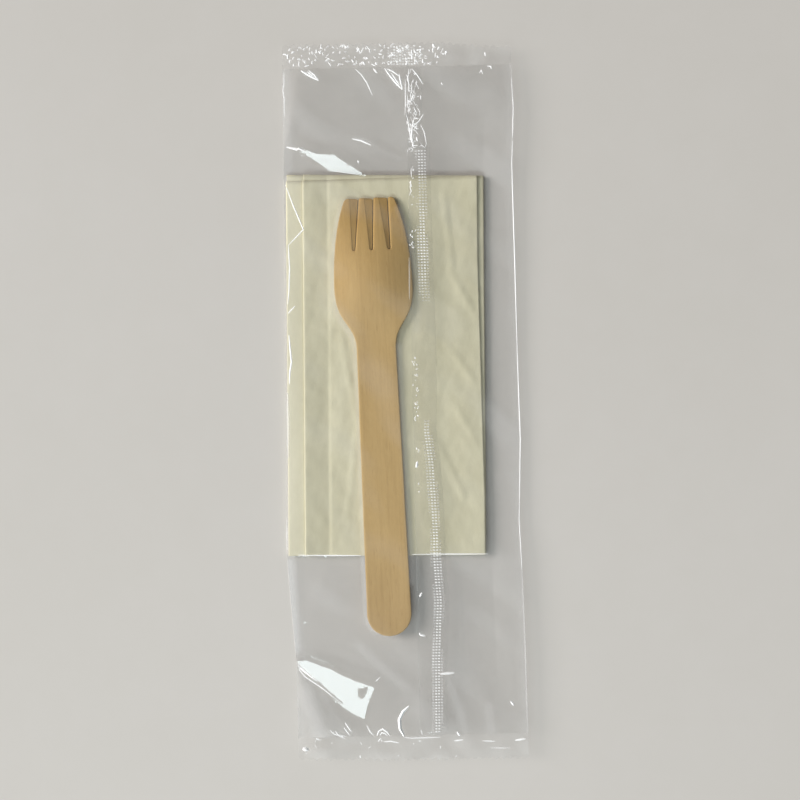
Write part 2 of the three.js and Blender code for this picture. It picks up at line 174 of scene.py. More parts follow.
RIGHT_LIFT = (4.5, 4.3, 2.8, 2.3, 2.5, 3.4, 4.0, 4.9, 4.7)
RIGHT_MARGIN_FROM = 30.9
# From, to, width and brightness of each painted highlight along the right-hand fold
FOLD_GLINTS = (
    (117, 107, 0.35, 0.3),
    (110, 95, 0.4, 0.55),
    (94, 20, 0.45, 0.9),
    (22, -38, 0.45, 0.65),
    (-36, -62, 0.4, 0.45),
    (-62, -118, 0.3, 0.15),
)
FOLD_GLINTS_INSET = 0.1
SEAL_BUCKLE = 0.35
SEAL_BUCKLE_OVER = 12
SEAL_BUCKLE_WAVE = 26
SEAL_PRESSED_OVER = 0.7
SEAL_ROWS = 30
SEAL_FINER = 2
WAFFLE_PITCH = 1.3
WAFFLE_HEIGHT = 0.15
SAW_TOOTH_COLUMNS = 16
SAW_TOOTH_DEPTH = 1.0
# By end, 1 at the top and -1 at the bottom
SEAL_FLUTTER = {1: 0.55, -1: 0.2}
SEAL_MILK = {1: 0.05, -1: 0.07}
SEAL_EXTRA = {1: ((-42, 16, 30, 42), (2.0, 2.0, 0.3, 0.0)), -1: ((-42, -10, 42), (1.2, 2.2, 2.4))}
CRIMP = {1: 1.0, -1: 0.1}
CRIMP_FADES_AT = (14, 22)
# End, number and boldness of the crushed ridges in each seal, painted white as glints
CRIMP_GLINTS = ((1, 150, 1.0), (-1, 16, 0.6))
# Shares of the pack's width that they lie between
CRIMP_GLINTS_ACROSS = (0.01, 0.72)
CRIMP_HEADINGS = (-55, -20, 15, 60, 90)
PLEAT_SNAP = 0.42
PLEAT_MARGIN = 0.15
FILM_MILK = 0.012
CLOUD_MILK = 0.055
# Painted reflection of the film's slope beside the fork's left side, wider by its neck
FORK_SIDE_PAINTED_REFLECTION = 0.12
FORK_HUG_REACH = 1.8
NECK_HUG_EXTRA = 1.6
NECK_HUG_AT = 46
NECK_HUG_LENGTH = 6
NAPKIN_STRIP_MILK = 0.08
LEFT_MARGIN_MILK = 0.1
# Side folds: partly crease whitening, partly a painted highlight where the folds glint
LEFT_FOLD_MILK_AND_HIGHLIGHT = 0.15
RIGHT_FOLD_MILK_AND_HIGHLIGHT = 0.12

# Fin seal: it leaves the front film at its root and lies over to the right
FIN_ROOT_X = 2.8
FIN_WIDTH = 8.4
FIN_STAND_OFF = 0.3
FIN_STEP = 0.5
FIN_CLEARANCE = 0.06
FIN_LEAST_LIFT = 0.08
FIN_WAVE = 0.25
FIN_SETTLES_OVER = 12
FIN_MILK = 0.015
FIN_ROOT_MILK = 0.08
FIN_DRIFT_AT = (-122, -94, -80, -73, -65, -58, -50, -36, -22, -11, 0, 20, 50, 90)
FIN_DRIFT = (1.8, 2.3, 3.0, 3.4, 2.8, 2.4, 2.5, 2.0, 1.3, 0.0, 0.5, 0.6, 0.1, -0.1)
KNURL_FROM = 3.2
KNURL_COLUMNS = 4
KNURL_GLINT_STRENGTH = (0.3, 1.15, 1.15, 0.3)
KNURL_PITCH = 1.07
KNURL_POINT = (0.7, 0.4)
KNURL_HEIGHT = 0.06
KNURL_SKEW = 0.06
KNURL_SEAT = 0.01
KNURL_LEAN = 0.05
# How strongly the knurl's painted glints show along the fin
KNURL_GLINT_SHOWN_AT = (-54, -40, -12, -6, 34, 41, 46, 69, 73, 78, 82)
KNURL_GLINT_SHOWN = (1.0, 0.85, 0.8, 0.06, 0.06, 0.35, 1.0, 1.0, 0.4, 0.4, 0.85)
LEAST_GLINT = 0.12
FIN_CRUMPLED_FROM = 92
FIN_CRUMPLES_OVER = 8
FIN_CRUMPLED_NARROWING = 0.3
FIN_CRUSH = 0.25
TANGLE_LINES = 60
# Places up the top seal, as shares of it: from, to and step
LATTICE_UP = (0.08, 0.95, 0.125)
LATTICE_ACROSS = (-3.0, 9.5)
LATTICE_GLINT = 0.9
# From, to and number of the painted glint specks in each stretch of the fin's root
ROOT_GLINT_SPECKS = ((-8.0, 16.0, 30), (55.0, 62.0, 12), (70.0, 86.0, 10), (-40.0, -12.0, 6))
ROOT_GLINT_SPECKS_INSET = 1.3


def smoothstep(value, low, high):
    """0 below low, 1 above high, and an eased ramp between them."""
    share = np.clip((value - low) / (high - low), 0, 1)
    return share * share * (3 - 2 * share)


def ripples(x, y, wavelength, seed, waves=11):
    """Smooth random ripples, mostly between -1 and 1, of about the given wavelength."""
    draw = np.random.default_rng(seed)
    total = np.zeros(np.broadcast(x, y).shape)
    for _ in range(waves):
        heading = draw.uniform(0, 2 * math.pi)
        turns = 2 * math.pi / (wavelength * draw.uniform(0.7, 1.6))
        phase = draw.uniform(0, 2 * math.pi)
        total += np.sin(turns * (x * math.cos(heading) + y * math.sin(heading)) + phase)
    return total / math.sqrt(2 * waves)


def onto_edge(x, y, start, end):
    """The places on a straight edge that are nearest to some points."""
    (x0, y0), (x1, y1) = start, end
    along_x, along_y = x1 - x0, y1 - y0
    share = ((x - x0) * along_x + (y - y0) * along_y) / (along_x**2 + along_y**2)
    share = np.clip(share, 0, 1)
    return x0 + share * along_x, y0 + share * along_y


def near_line(x, y, corners, reach):
    """1 on the line through the corners, falling evenly to 0 at the given reach from it."""
    nearest = np.full(np.shape(x), np.inf)
    for start, end in zip(corners, corners[1:]):
        edge_x, edge_y = onto_edge(x, y, start, end)
        nearest = np.minimum(nearest, np.hypot(x - edge_x, y - edge_y))
    return np.clip(1 - nearest / reach, 0, 1)


def turned(x, y, centre, turn):
    """Points of a piece's own frame in the pack's frame."""
    across = centre[0] + x * math.cos(turn) - y * math.sin(turn)
    along = centre[1] + x * math.sin(turn) + y * math.cos(turn)
    return across, along


def in_frame_of(x, y, centre, turn):
    """Points of the pack's frame in a piece's own frame."""
    dx, dy = x - centre[0], y - centre[1]
    return dx * math.cos(turn) + dy * math.sin(turn), dy * math.cos(turn) - dx * math.sin(turn)


def numbered(shape, start=0):
    """Vertex numbers of a grid of points, row by row."""
    return start + np.arange(math.prod(shape)).reshape(shape)


def grid_quads(numbers):
    """Quads between neighbouring points of a grid of vertex numbers."""
    corners = [numbers[:-1, :-1], numbers[:-1, 1:], numbers[1:, 1:], numbers[1:, :-1]]
    return np.stack(corners, axis=-1).reshape(-1, 4).tolist()


def ring_quads(numbers):
    """Quads between neighbouring closed rings of vertex numbers, one ring to a row."""
    return grid_quads(np.column_stack([numbers, numbers[:, 0]]))


def as_points(x, y, z):
    """Grids of places as one list of points, row by row."""
    return np.stack([x, y, z], axis=-1).reshape(-1, 3)


def put_in_scene(name, data):
    """A new object of the scene, which shows a mesh, a lamp or a camera."""
    made = bpy.data.objects.new(name, data)
    bpy.context.scene.collection.objects.link(made)
    return made


def new_piece(name, points, faces, material, node, sharp_over):
    """A smooth-shaded mesh piece on the root body, which stands for a node of the frame."""
    mesh = bpy.data.meshes.new(name)
    mesh.from_pydata((np.asarray(points) * MM).tolist(), [], faces)
    mesh.validate()
    mesh.shade_smooth()
    mesh.set_sharp_from_angle(angle=math.radians(sharp_over))
    mesh.materials.append(material)
    piece = put_in_scene(name, mesh)
    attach(piece, "root")
    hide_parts(node)
    return piece


def set_points(piece, name, values):
    """A number for each point of a piece's mesh, for its material."""
    layer = piece.data.attributes.new(name, "FLOAT", "POINT")
    layer.data.foreach_set("value", np.asarray(values, dtype=np.float32).ravel())


# Building blocks of the materials


def feed(tree, socket, value):
    """Set an input to a value, or link it to another node's output."""
    if isinstance(value, bpy.types.NodeSocket):
        tree.links.new(value, socket)
    else:
        socket.default_value = value


def add_node(tree, kind, values=None):
    """A node with some of its inputs set or linked."""
    made = tree.nodes.new(kind)
    for name, value in (values or {}).items():
        feed(tree, made.inputs[name], value)
    return made


def add_math(tree, operation, *values):
    """A maths node whose inputs are numbers or other nodes' outputs."""
    made = tree.nodes.new("ShaderNodeMath")
    made.operation = operation
    for socket, value in zip(made.inputs, values):
        feed(tree, socket, value)
    return made.outputs[0]


def add_ramp(tree, factor, stops):
    """A colour ramp over a factor, from (place, colour) stops."""
    made = tree.nodes.new("ShaderNodeValToRGB")
    elements = made.color_ramp.elements
    while len(elements) < len(stops):
        elements.new(1.0)
    for element, (place, colour) in zip(elements, stops):
        element.position = place
        element.color = (*colour, 1.0)
    tree.links.new(factor, made.inputs["Fac"])
    return made.outputs["Color"]


def add_noise(tree, vector, scale, detail, roughness=0.5):
    """Noise over the given coordinates."""
    values = {"Vector": vector, "Scale": scale, "Detail": detail, "Roughness": roughness}
    return add_node(tree, "ShaderNodeTexNoise", values).outputs["Fac"]


def stretched(tree, vector, scale):
    """Coordinates scaled by a different amount on each axis."""
    return add_node(tree, "ShaderNodeMapping", {"Vector": vector, "Scale": scale}).outputs["Vector"]


def add_bump(tree, height, strength, distance):
    """A normal that follows a height."""
    values = {"Height": height, "Strength": strength, "Distance": distance}
    return add_node(tree, "ShaderNodeBump", values).outputs["Normal"]


def add_mix(tree, factor, first, second, blend="MIX"):
    """A colour mixed from two others."""
    made = tree.nodes.new("ShaderNodeMix")
    made.data_type = "RGBA"
    made.blend_type = blend
    for name, value in (("Factor", factor), ("A", first), ("B", second)):
        feed(tree, made.inputs[name], value)
    return made.outputs["Result"]


def own_place(tree):
    """Coordinates in the piece's own frame."""
    return tree.nodes.new("ShaderNodeTexCoord").outputs["Object"]


def point_values(tree, name):
    """What was set for each point of a mesh under a name."""
    made = tree.nodes.new("ShaderNodeAttribute")
    made.attribute_name = name
    return made.outputs


def add_blend(tree, factor, first, second):
    """A shader between two others."""
    made = tree.nodes.new("ShaderNodeMixShader")
    for socket, value in zip(made.inputs, (factor, first, second)):
        tree.links.new(value, socket)
    return made.outputs["Shader"]


def new_material(name):
    """A material without nodes, and its node tree."""
    material = bpy.data.materials.new(name)
    material.use_nodes = True
    material.node_tree.nodes.clear()
    return material, material.node_tree


def show(tree, shader):
    """Make a shader the surface of its material."""
    add_node(tree, "ShaderNodeOutputMaterial", {"Surface": shader})


def show_solid(tree, values):
    """Make an opaque shader, with some of its inputs set or linked, the surface of its material."""
    show(tree, add_node(tree, "ShaderNodeBsdfPrincipled", values).outputs["BSDF"])


def mottle_group():
    """A group that mottles one colour with another: broad clouds and fine specks."""
    group = bpy.data.node_groups.new("mottle", "ShaderNodeTree")
    for name, kind in (
        ("Vector", "NodeSocketVector"),
        ("Light", "NodeSocketColor"),
        ("Dark", "NodeSocketColor"),
        ("Cloud Scale", "NodeSocketFloat"),
        ("Speck Scale", "NodeSocketFloat"),
    ):
        group.interface.new_socket(name, in_out="INPUT", socket_type=kind)
    group.interface.new_socket("Color", in_out="OUTPUT", socket_type="NodeSocketColor")
    given = group.nodes.new("NodeGroupInput").outputs
    clouds = add_noise(group, given["Vector"], given["Cloud Scale"], 4.0, 0.55)
    specks = add_noise(group, given["Vector"], given["Speck Scale"], 3.0, 0.7)
    both = add_math(group, "ADD", add_math(group, "MULTIPLY_ADD", specks, 0.45, -0.225), clouds)
    lightness = add_math(group, "MULTIPLY_ADD", both, 2.2, -0.6)
    add_node(group, "NodeGroupOutput", {"Color": add_mix(group, lightness, given["Dark"], given["Light"])})
    return group


MOTTLE = mottle_group()


def add_mottle(tree, vector, light, dark, cloud_scale, speck_scale):
    """The mottle group with its own colours and scales."""
    made = tree.nodes.new("ShaderNodeGroup")
    made.node_tree = MOTTLE
    values = {
        "Vector": vector,
        "Light": (*light, 1.0),
        "Dark": (*dark, 1.0),
        "Cloud Scale": cloud_scale,
        "Speck Scale": speck_scale,
    }
    for name, value in values.items():
        feed(tree, made.inputs[name], value)
    return made.outputs["Color"]


# Materials


def add_tint(tree, colour, tint, factor):
    """A colour multiplied by a tint, as far as the factor says."""
    return add_mix(tree, factor, colour, tint, "MULTIPLY")


def birch_wood():
    """Raw birch veneer: pale, darker at the tips, with faint straight grain and short dark pores."""
    material, tree = new_material("birch")
    along = point_values(tree, "grain")["Vector"]
    colour = add_mottle(tree, stretched(tree, along, (1.0, 0.3, 1.0)), BIRCH_LIGHT, BIRCH_DARK, 90, 1500)
    streaks = add_noise(tree, stretched(tree, along, (1.0, 0.03, 1.0)), 900, 3.0, 0.6)
    streak_tint = add_ramp(tree, streaks, [(0.3, (0.86, 0.83, 0.78)), (0.52, (1.0, 1.0, 1.0))])
    colour = add_tint(tree, colour, streak_tint, 0.6)
    pores = add_noise(tree, stretched(tree, along, (1.0, 0.07, 1.0)), 2600, 2.0, 0.5)
    pore_tint = add_ramp(tree, pores, [(0.3, (0.78, 0.72, 0.64)), (0.38, (1.0, 1.0, 1.0))])
    colour = add_tint(tree, colour, pore_tint, 0.5)
    down_the_fork = add_node(tree, "ShaderNodeSeparateXYZ", {"Vector": along}).outputs["Y"]
    from_tips = add_math(tree, "MULTIPLY", down_the_fork, -1 / (FORK_LENGTH * MM))
    values = {
        "Base Color": add_tint(tree, colour, add_ramp(tree, from_tips, BIRCH_TINTS), 1.0),
        "Roughness": add_math(tree, "MULTIPLY_ADD", streaks, 0.2, 0.5),
        "Specular IOR Level": 0.35,
        "Normal": add_bump(tree, streaks, 0.25, 0.0001),
    }
    show_solid(tree, values)
    return material


def tissue_paper():
    """Unbleached napkin paper: cloudy cream with faint lengthwise streaks and a fibrous surface."""
    material, tree = new_material("tissue")
    place = own_place(tree)
    fibres = add_noise(tree, stretched(tree, place, (1.0, 0.45, 1.0)), 2600, 4.0, 0.65)
    clouds = stretched(tree, place, (1.0, 0.35, 1.0))
    values = {
        "Base Color": add_mottle(tree, clouds, PAPER_LIGHT, PAPER_DARK, 110, 900),
        "Roughness": 0.95,
        "Specular IOR Level": 0.2,
        "Normal": add_bump(tree, fibres, 0.35, 0.00012),
    }
    show_solid(tree, values)
    return material


def clear_film():
    """Thin clear film: it lets light through, mirrors a little, and is milky where creased or sealed. The
    same milky white also paints glints, sheen and reflections onto it.
    """
    material, tree = new_material("clear_film")
    facing = add_node(tree, "ShaderNodeLayerWeight", {"Blend": 0.5}).outputs["Facing"]
    shine = add_math(tree, "MULTIPLY_ADD", add_math(tree, "POWER", facing, 5.0), 0.92, 0.08)
    place = own_place(tree)
    wavy = add_bump(tree, add_noise(tree, place, 240, 2.0), 0.2, 0.00012)
    through = add_node(tree, "ShaderNodeBsdfTransparent", {"Color": (0.985, 0.985, 0.985, 1.0)})
    gloss = {"Color": (1.0, 1.0, 1.0, 1.0), "Roughness": 0.05, "Normal": wavy}
    mirror = add_node(tree, "ShaderNodeBsdfAnisotropic", gloss)
    clear = add_blend(tree, shine, through.outputs["BSDF"], mirror.outputs["BSDF"])
    # Milky white: real cloudiness of the film and seals, and painted glints, sheen and reflections
    # elsewhere
    milk_and_painted_light = add_node(tree, "ShaderNodeBsdfDiffuse", {"Color": (0.92, 0.92, 0.93, 1.0)})
    haze_and_painted_light = point_values(tree, "haze_and_painted_light")["Fac"]
    show(tree, add_blend(tree, haze_and_painted_light, clear, milk_and_painted_light.outputs["BSDF"]))
    return material


def table_top():
    """A plain pale table."""
    material, tree = new_material("table_top")
    place = own_place(tree)
    values = {
        "Base Color": add_mottle(tree, place, TABLE_LIGHT, TABLE_DARK, 5, 60),
        "Roughness": 0.7,
        "Specular IOR Level": 0.2,
    }
    show_solid(tree, values)
    return material


# Wooden fork


def curve(controls, steps):
    """Points of a Bezier curve after its first point."""
    points = []
    degree = len(controls) - 1
    for step in range(1, steps + 1):
        t = step / steps
        weights = [math.comb(degree, k) * t**k * (1 - t) ** (degree - k) for k in range(degree + 1)]
        points.append(tuple(sum(w * c[axis] for w, c in zip(weights, controls)) for axis in (0, 1)))
    return points


def fork_side():
    """The right-hand side of the fork as (half width, distance from the tips), from the tips to the end."""
    tip, head, neck, end = TIP_WIDTH / 2, HEAD_WIDTH / 2, NECK_WIDTH / 2, HANDLE_WIDTH / 2
    flared = (tip + TIP_FLARE * TIP_CORNER / TIP_FLARE_AT, TIP_CORNER)
    widest = (head, HEAD_WIDEST_AT)
    neck_point = (neck, NECK_AT)
    round_from = FORK_LENGTH - end
    side = [(tip - TIP_CORNER, 0)]
    side += curve([side[-1], (tip, 0), flared], TIP_CORNER_STEPS)
    bulge = [flared, (tip + TIP_FLARE, TIP_FLARE_AT), (head, HEAD_WIDEST_AT - HEAD_ROUND), widest]
    shoulder = [widest, (head, HEAD_WIDEST_AT + SHOULDER_ROUND), (neck, NECK_AT - NECK_ROUND), neck_point]
    for controls in (bulge, shoulder):
        side += curve(controls, SIDE_STEPS)
    shares = [k / HANDLE_STEPS for k in range(1, HANDLE_STEPS + 1)]
    side += [(neck + (end - neck) * s, NECK_AT + (round_from - NECK_AT) * s) for s in shares]
    turns = [math.pi / 2 * s for s in shares]
    side += [(end * math.cos(t), round_from + end * math.sin(t)) for t in turns]
    return side


FORK_SIDE = fork_side()


def fork_half_width(distance):
    """Half of the fork's width at distances from the tips, and nothing beyond its ends."""
    halves, distances = zip(*FORK_SIDE)
    return np.interp(distance, distances, halves, left=-FORK_LENGTH, right=-FORK_LENGTH)


def scoop_rise(across, distance):
    """How far the pressed head stands above the plane of the handle."""
    from_tips = np.clip(distance / SCOOP_CENTRE_AT, 0, 1)
    to_neck = np.clip((distance - SCOOP_CENTRE_AT) / (NECK_AT - SCOOP_CENTRE_AT), 0, 1)
    along = np.sin(math.pi / 2 * from_tips) * np.cos(math.pi / 2 * to_neck) ** 2
    over = 1 - np.minimum(1, np.abs(across) / (HEAD_WIDTH / 2)) ** 2
    return SCOOP_DEPTH * along * over


def slot_edge(slot):
    """The edge of one tapered gap between tines, from the tip on its right to the tip on its left."""
    from_middle = slot - (TINES - 2) / 2
    gap = (TIP_WIDTH - TINES * TINE_TIP_WIDTH) / (TINES - 1)
    tip_x = from_middle * (gap + TINE_TIP_WIDTH)
    root_x = from_middle * (SLOT_ROOT_WIDTH + TINE_ROOT_WIDTH)
    radius = SLOT_ROOT_WIDTH / 2
    root_at = SLOT_LENGTH - radius
    right, left = tip_x + gap / 2, tip_x - gap / 2
    edge = [(right + TINE_CORNER, 0)]
    edge += curve([edge[-1], (right, 0), (right, TINE_CORNER)], TINE_CORNER_STEPS)
    turns = np.linspace(0, math.pi, SLOT_ROOT_STEPS + 1)
    edge += [(root_x + radius * math.cos(t), root_at + radius * math.sin(t)) for t in turns]
    edge += [(left, TINE_CORNER)]
    edge += curve([edge[-1], (left, 0), (left - TINE_CORNER, 0)], TINE_CORNER_STEPS)
    return edge


def fork_outline():
    """The fork's outline with its tines, anticlockwise, as points with Y down the handle."""
    points = list(reversed(FORK_SIDE))
    for slot in reversed(range(TINES - 1)):
        points += slot_edge(slot)
    points += [(-x, y) for x, y in FORK_SIDE[:-1]]
    apart = [math.dist(p, q) > FORK_EDGE_STEP / 5 for p, q in zip(points, points[1:] + points[:1])]
    points = [p for p, kept in zip(points, apart) if kept]
    outline = []
    for (x0, y0), (x1, y1) in zip(points, points[1:] + points[:1]):
        steps = max(1, math.ceil(math.hypot(x1 - x0, y1 - y0) / FORK_EDGE_STEP))
        outline += [(x0 + (x1 - x0) * k / steps, -y0 - (y1 - y0) * k / steps) for k in range(steps)]
    return np.array(outline)


def headings(outline):
    """The heading of a closed outline at each of its points, as unit vectors."""
    ahead = np.roll(outline, -1, axis=0) - np.roll(outline, 1, axis=0)
    return ahead / np.linalg.norm(ahead, axis=1, keepdims=True)


def inset(outline, distance):
    """The outline moved inwards."""
    heading = headings(outline)
    return outline + distance * np.stack([-heading[:, 1], heading[:, 0]], axis=1)


def slot_slant(outline):
    """How far the slanted sides of the slots lead across the fork on their way down: right is positive."""
    distance = -outline[:, 1]
    faces = headings(outline)[:, 1]
    in_slot = np.abs(outline[:, 0]) < fork_half_width(distance) - TINE_CORNER
    width = np.where(faces > 0, SLOT_SLANT_RIGHT, SLOT_SLANT_LEFT)
    narrowing = np.clip(1 - SLOT_SLANT_EASE * distance / SLOT_LENGTH, 0, 1)
    return np.where(in_slot, width * faces * narrowing, 0)


def face_triangles(rim):
    """Points and triangles that fill a rim, with even points inside it. The rim's points come first."""
    lows, highs = rim.min(axis=0), rim.max(axis=0)
    inside = []
    for row, y in enumerate(np.arange(lows[1], highs[1], FORK_CELL)):
        for x in np.arange(lows[0] + (row % 2) * FORK_CELL / 2, highs[0], FORK_CELL):
            if np.min(np.hypot(*(rim - (x, y)).T)) > FORK_CELL / 2:
                inside.append((x, y))
    points = [Vector(p) for p in [*rim.tolist(), *inside]]
    border = [list(range(len(rim)))]
    _, _, faces, sources, _, _ = delaunay_2d_cdt(points, [], border, 1, SAME_PLACE)
    order = [source[0] for source in sources]
    used = sorted({order[k] for face in faces for k in face} | set(range(len(rim))))
    place = {source: k for k, source in enumerate(used)}
    triangles = [[place[order[k]] for k in face] for face in faces]
    return np.array([points[k] for k in used]), triangles


def fork_rings(outline):
    """The rounded edge of one side as (outline, depth below the face), from the wall to the face."""
    rings = []
    for step in range(EDGE_ROUND_STEPS + 1):
        turn = math.pi / 2 * step / EDGE_ROUND_STEPS
        moved = inset(outline, FORK_EDGE_ROUND * (1 - math.cos(turn)))
        rings.append((moved, FORK_EDGE_ROUND * (1 - math.sin(turn))))
    return rings


def fork_sides(outline):
    """The rings of the fork's upper and lower side, from the slots' slanted walls to the faces."""
    edge = fork_rings(outline)
    slant = slot_slant(outline)
    slanted = outline + np.column_stack([slant, np.zeros(len(outline))])
    share = np.clip(slant / SLOT_SLANT_RIGHT, 0, 1)
    drop = FORK_EDGE_ROUND * (1 - share) + SLOT_LIP + SLOT_SLANT_DEPTH * share
    crisp = [(ring, depth * (1 - SLOT_CRISPNESS * np.sqrt(share))) for ring, depth in edge]
    return [(slanted, drop), *crisp], [(slanted, edge[0][1]), *edge[1:]]


def wooden_fork(material):
    """The fork: a pressed veneer blank, stamped to its outline, with its edges rounded by tumbling."""
    outline = fork_outline()
    count = len(outline)
    upper, lower = fork_sides(outline)
    face_points, triangles = face_triangles(upper[-1][0])
    flat, faces, walls = [], [], []
    for level, sign, rings in ((FORK_THICKNESS, -1, upper), (0, 1, lower)):
        start = sum(len(part) for part in flat)
        walls.append(start + np.append(np.arange(count), 0))
        for ring, depth in rings[:-1]:
            flat.append(np.column_stack([ring, np.broadcast_to(level + sign * depth, count)]))
        flat.append(np.column_stack([face_points, np.full(len(face_points), level)]))
        face_start = start + (len(rings) - 1) * count
        side = ring_quads(numbered((len(rings), count), start))
        side += [[k + face_start for k in face] for face in triangles]
        faces += side if sign < 0 else [face[::-1] for face in side]
    faces += grid_quads(np.stack(walls[::-1]))
    flat = np.concatenate(flat)
    x, y = turned(flat[:, 0], flat[:, 1] + FORK_LENGTH / 2, FORK_CENTRE, FORK_TURN)
    z = FORK_SEAT + flat[:, 2] + scoop_rise(flat[:, 0], -flat[:, 1])
    fork = new_piece("birch_fork", as_points(x, y, z), faces, material, "wooden_fork", 30)
    grain = fork.data.attributes.new("grain", "FLOAT_VECTOR", "POINT")
    grain.data.foreach_set("vector", (flat * MM).astype(np.float32).ravel())


# Paper napkin

LAYER = 2 * PAPER_LEAF + LEAF_GAP
LAYER_PITCH = LAYER + LAYER_GAP
TOP_FOLD = -NAPKIN_WIDTH / 2 + TOP_PANEL_INSET_LEFT
LEAF_OFFSET = (PAPER_LEAF + LEAF_GAP) / 2
BEND = LAYER_PITCH / 2
TOP_LAYER_CELLS = 120
LOWER_LAYER_CELLS = 18
LEAF_CELLS = 90
BEND_STEPS = 6


def free_edge_inset(y):
    """How far the top layer's free edge lies inside the right-hand edge: it is a little askew."""
    return FREE_EDGE_INSET + np.interp(y, FREE_EDGE_SKEW_AT, FREE_EDGE_SKEW)


def zigzag(y):
    """The napkin's folded section at each y: places (x, z) and normals of its middle line."""
    reach = BEND + LAYER / 2
    left = -NAPKIN_WIDTH / 2 - LOWER_REACH_LEFT + reach
    right = NAPKIN_WIDTH / 2 - reach
    free_edges = NAPKIN_WIDTH / 2 - BOTTOM_PANEL_INSET_RIGHT, NAPKIN_WIDTH / 2 - free_edge_inset(y)
    turns = [free_edges[0], left, right, TOP_FOLD + reach, free_edges[1]]
    turns = [np.broadcast_to(x, y.shape) for x in turns]
    top_layer = len(turns) - 2
    xs, zs, across, up = [], [], [], []
    for layer, (start, end) in enumerate(zip(turns, turns[1:])):
        level = LAYER / 2 + layer * LAYER_PITCH
        heading = 1 if layer % 2 else -1
        cells = TOP_LAYER_CELLS if layer == top_layer else LOWER_LAYER_CELLS
        for share in np.linspace(0, 1, cells + 1):
            xs.append(start + (end - start) * share)
            zs.append(np.full_like(y, level))
            across.append(0.0)
            up.append(float(heading))
        if layer == top_layer:
            break
        for turn in np.linspace(0, math.pi, BEND_STEPS + 1)[1:-1]:
            xs.append(end + heading * BEND * math.sin(turn))
            zs.append(np.full_like(y, level + BEND - BEND * math.cos(turn)))
            across.append(-math.sin(turn))
            up.append(heading * math.cos(turn))
    return np.array(xs).T, np.array(zs).T, np.array(across), np.array(up)


def lower_rise(x):
    """How far the lower layers rise from under the top layer's fold to their own fold on the left."""
    return LOWER_PUFF * np.clip((TOP_FOLD - x) / (TOP_PANEL_INSET_LEFT + LOWER_REACH_LEFT), 0, 1)


def paper_rise(x, y):
    """The relief of the napkin's top: a puffed fold, a pressed line, waves and a few handling creases."""
    step = PRESS_LINE_X + PRESS_LINE_WIDTH
    places = [TOP_FOLD, PRESS_LINE_X, step, step + PRESS_LINE_FADES_OVER]
    relief = np.interp(x, places, [FOLD_PUFF, FOLD_DIP, PRESS_LINE_DIP, 0.0])
    relief = relief * (1 + PUFF_GROWTH * smoothstep(-y, *PUFF_GROWS_OVER))
    for height, stretch, wavelength, seed in PAPER_WAVES:
        relief = relief + height * ripples(x, y * stretch, wavelength, seed)
    for crease in PAPER_CREASES:
        nearness = near_line(x, y, crease, PAPER_CREASE_REACH)
        relief = relief + PAPER_CREASE_HEIGHT * smoothstep(nearness, 0, 1)
    return relief


def paper_napkin(material):
    """The napkin: one sheet, with its two halves joined in the bottom fold."""
    half = NAPKIN_LENGTH / 2
    straight = np.linspace(0, 1, LEAF_CELLS + 1)
    round_fold = np.linspace(0, math.pi, BEND_STEPS + 1)[1:-1]
    bottom = -half + LEAF_OFFSET
    y_front = half + (bottom - half) * straight
    y_back = bottom + (half - bottom) * straight
    y = np.concatenate([y_front, bottom - LEAF_OFFSET * np.sin(round_fold), y_back])
    offset = LEAF_OFFSET * np.concatenate(
        [np.ones_like(y_front), np.cos(round_fold), -np.ones_like(y_back)]
    )
    x, z, across, up = zigzag(y)
    x = x + offset[:, None] * across[None, :]
    z = z + offset[:, None] * up[None, :]
    to_top = (y[:, None] + half) / NAPKIN_LENGTH
    along = y[:, None] - TOP_EDGE_SKEW * to_top * x / half
    in_front = np.where(offset > 0, 1, 0)[:, None]
    along = along - in_front * TOP_LEAF_DROP * to_top * (0.5 - x / NAPKIN_WIDTH)
    share = np.clip(z / (NAPKIN_THICKNESS - LAYER / 2), 0, 1)
    above_first = np.clip((z - LAYER / 2) / LAYER_PITCH, 0, 1)
    z = z + share**2 * paper_rise(x, along) + above_first * lower_rise(x)
    px, py = turned(x, along, NAPKIN_CENTRE, NAPKIN_TURN)
    points = as_points(px, py, z + NAPKIN_SEAT)
    quads = grid_quads(numbered(x.shape))
    napkin = new_piece("paper_napkin", points, quads, material, "folded_napkin", 60)
    thick = napkin.modifiers.new("leaf", "SOLIDIFY")
    thick.thickness = PAPER_LEAF * MM
    thick.offset = 0.0
    return napkin


# Clear film


class Pleat(NamedTuple):
    """A flat cheek of a pleat: its corners, the heading it faces, its slope and the width of its skirt."""

    cheek: list
    faces: float
    slope: float
    skirt: float


class Crease(NamedTuple):
    """A pinched crease: its corners, its width, the strength of the painted glint along it and how far it
    stands above the film.
    """

    corners: list
    width: float
    milk_and_painted_light: float
    lift: float = 0.0


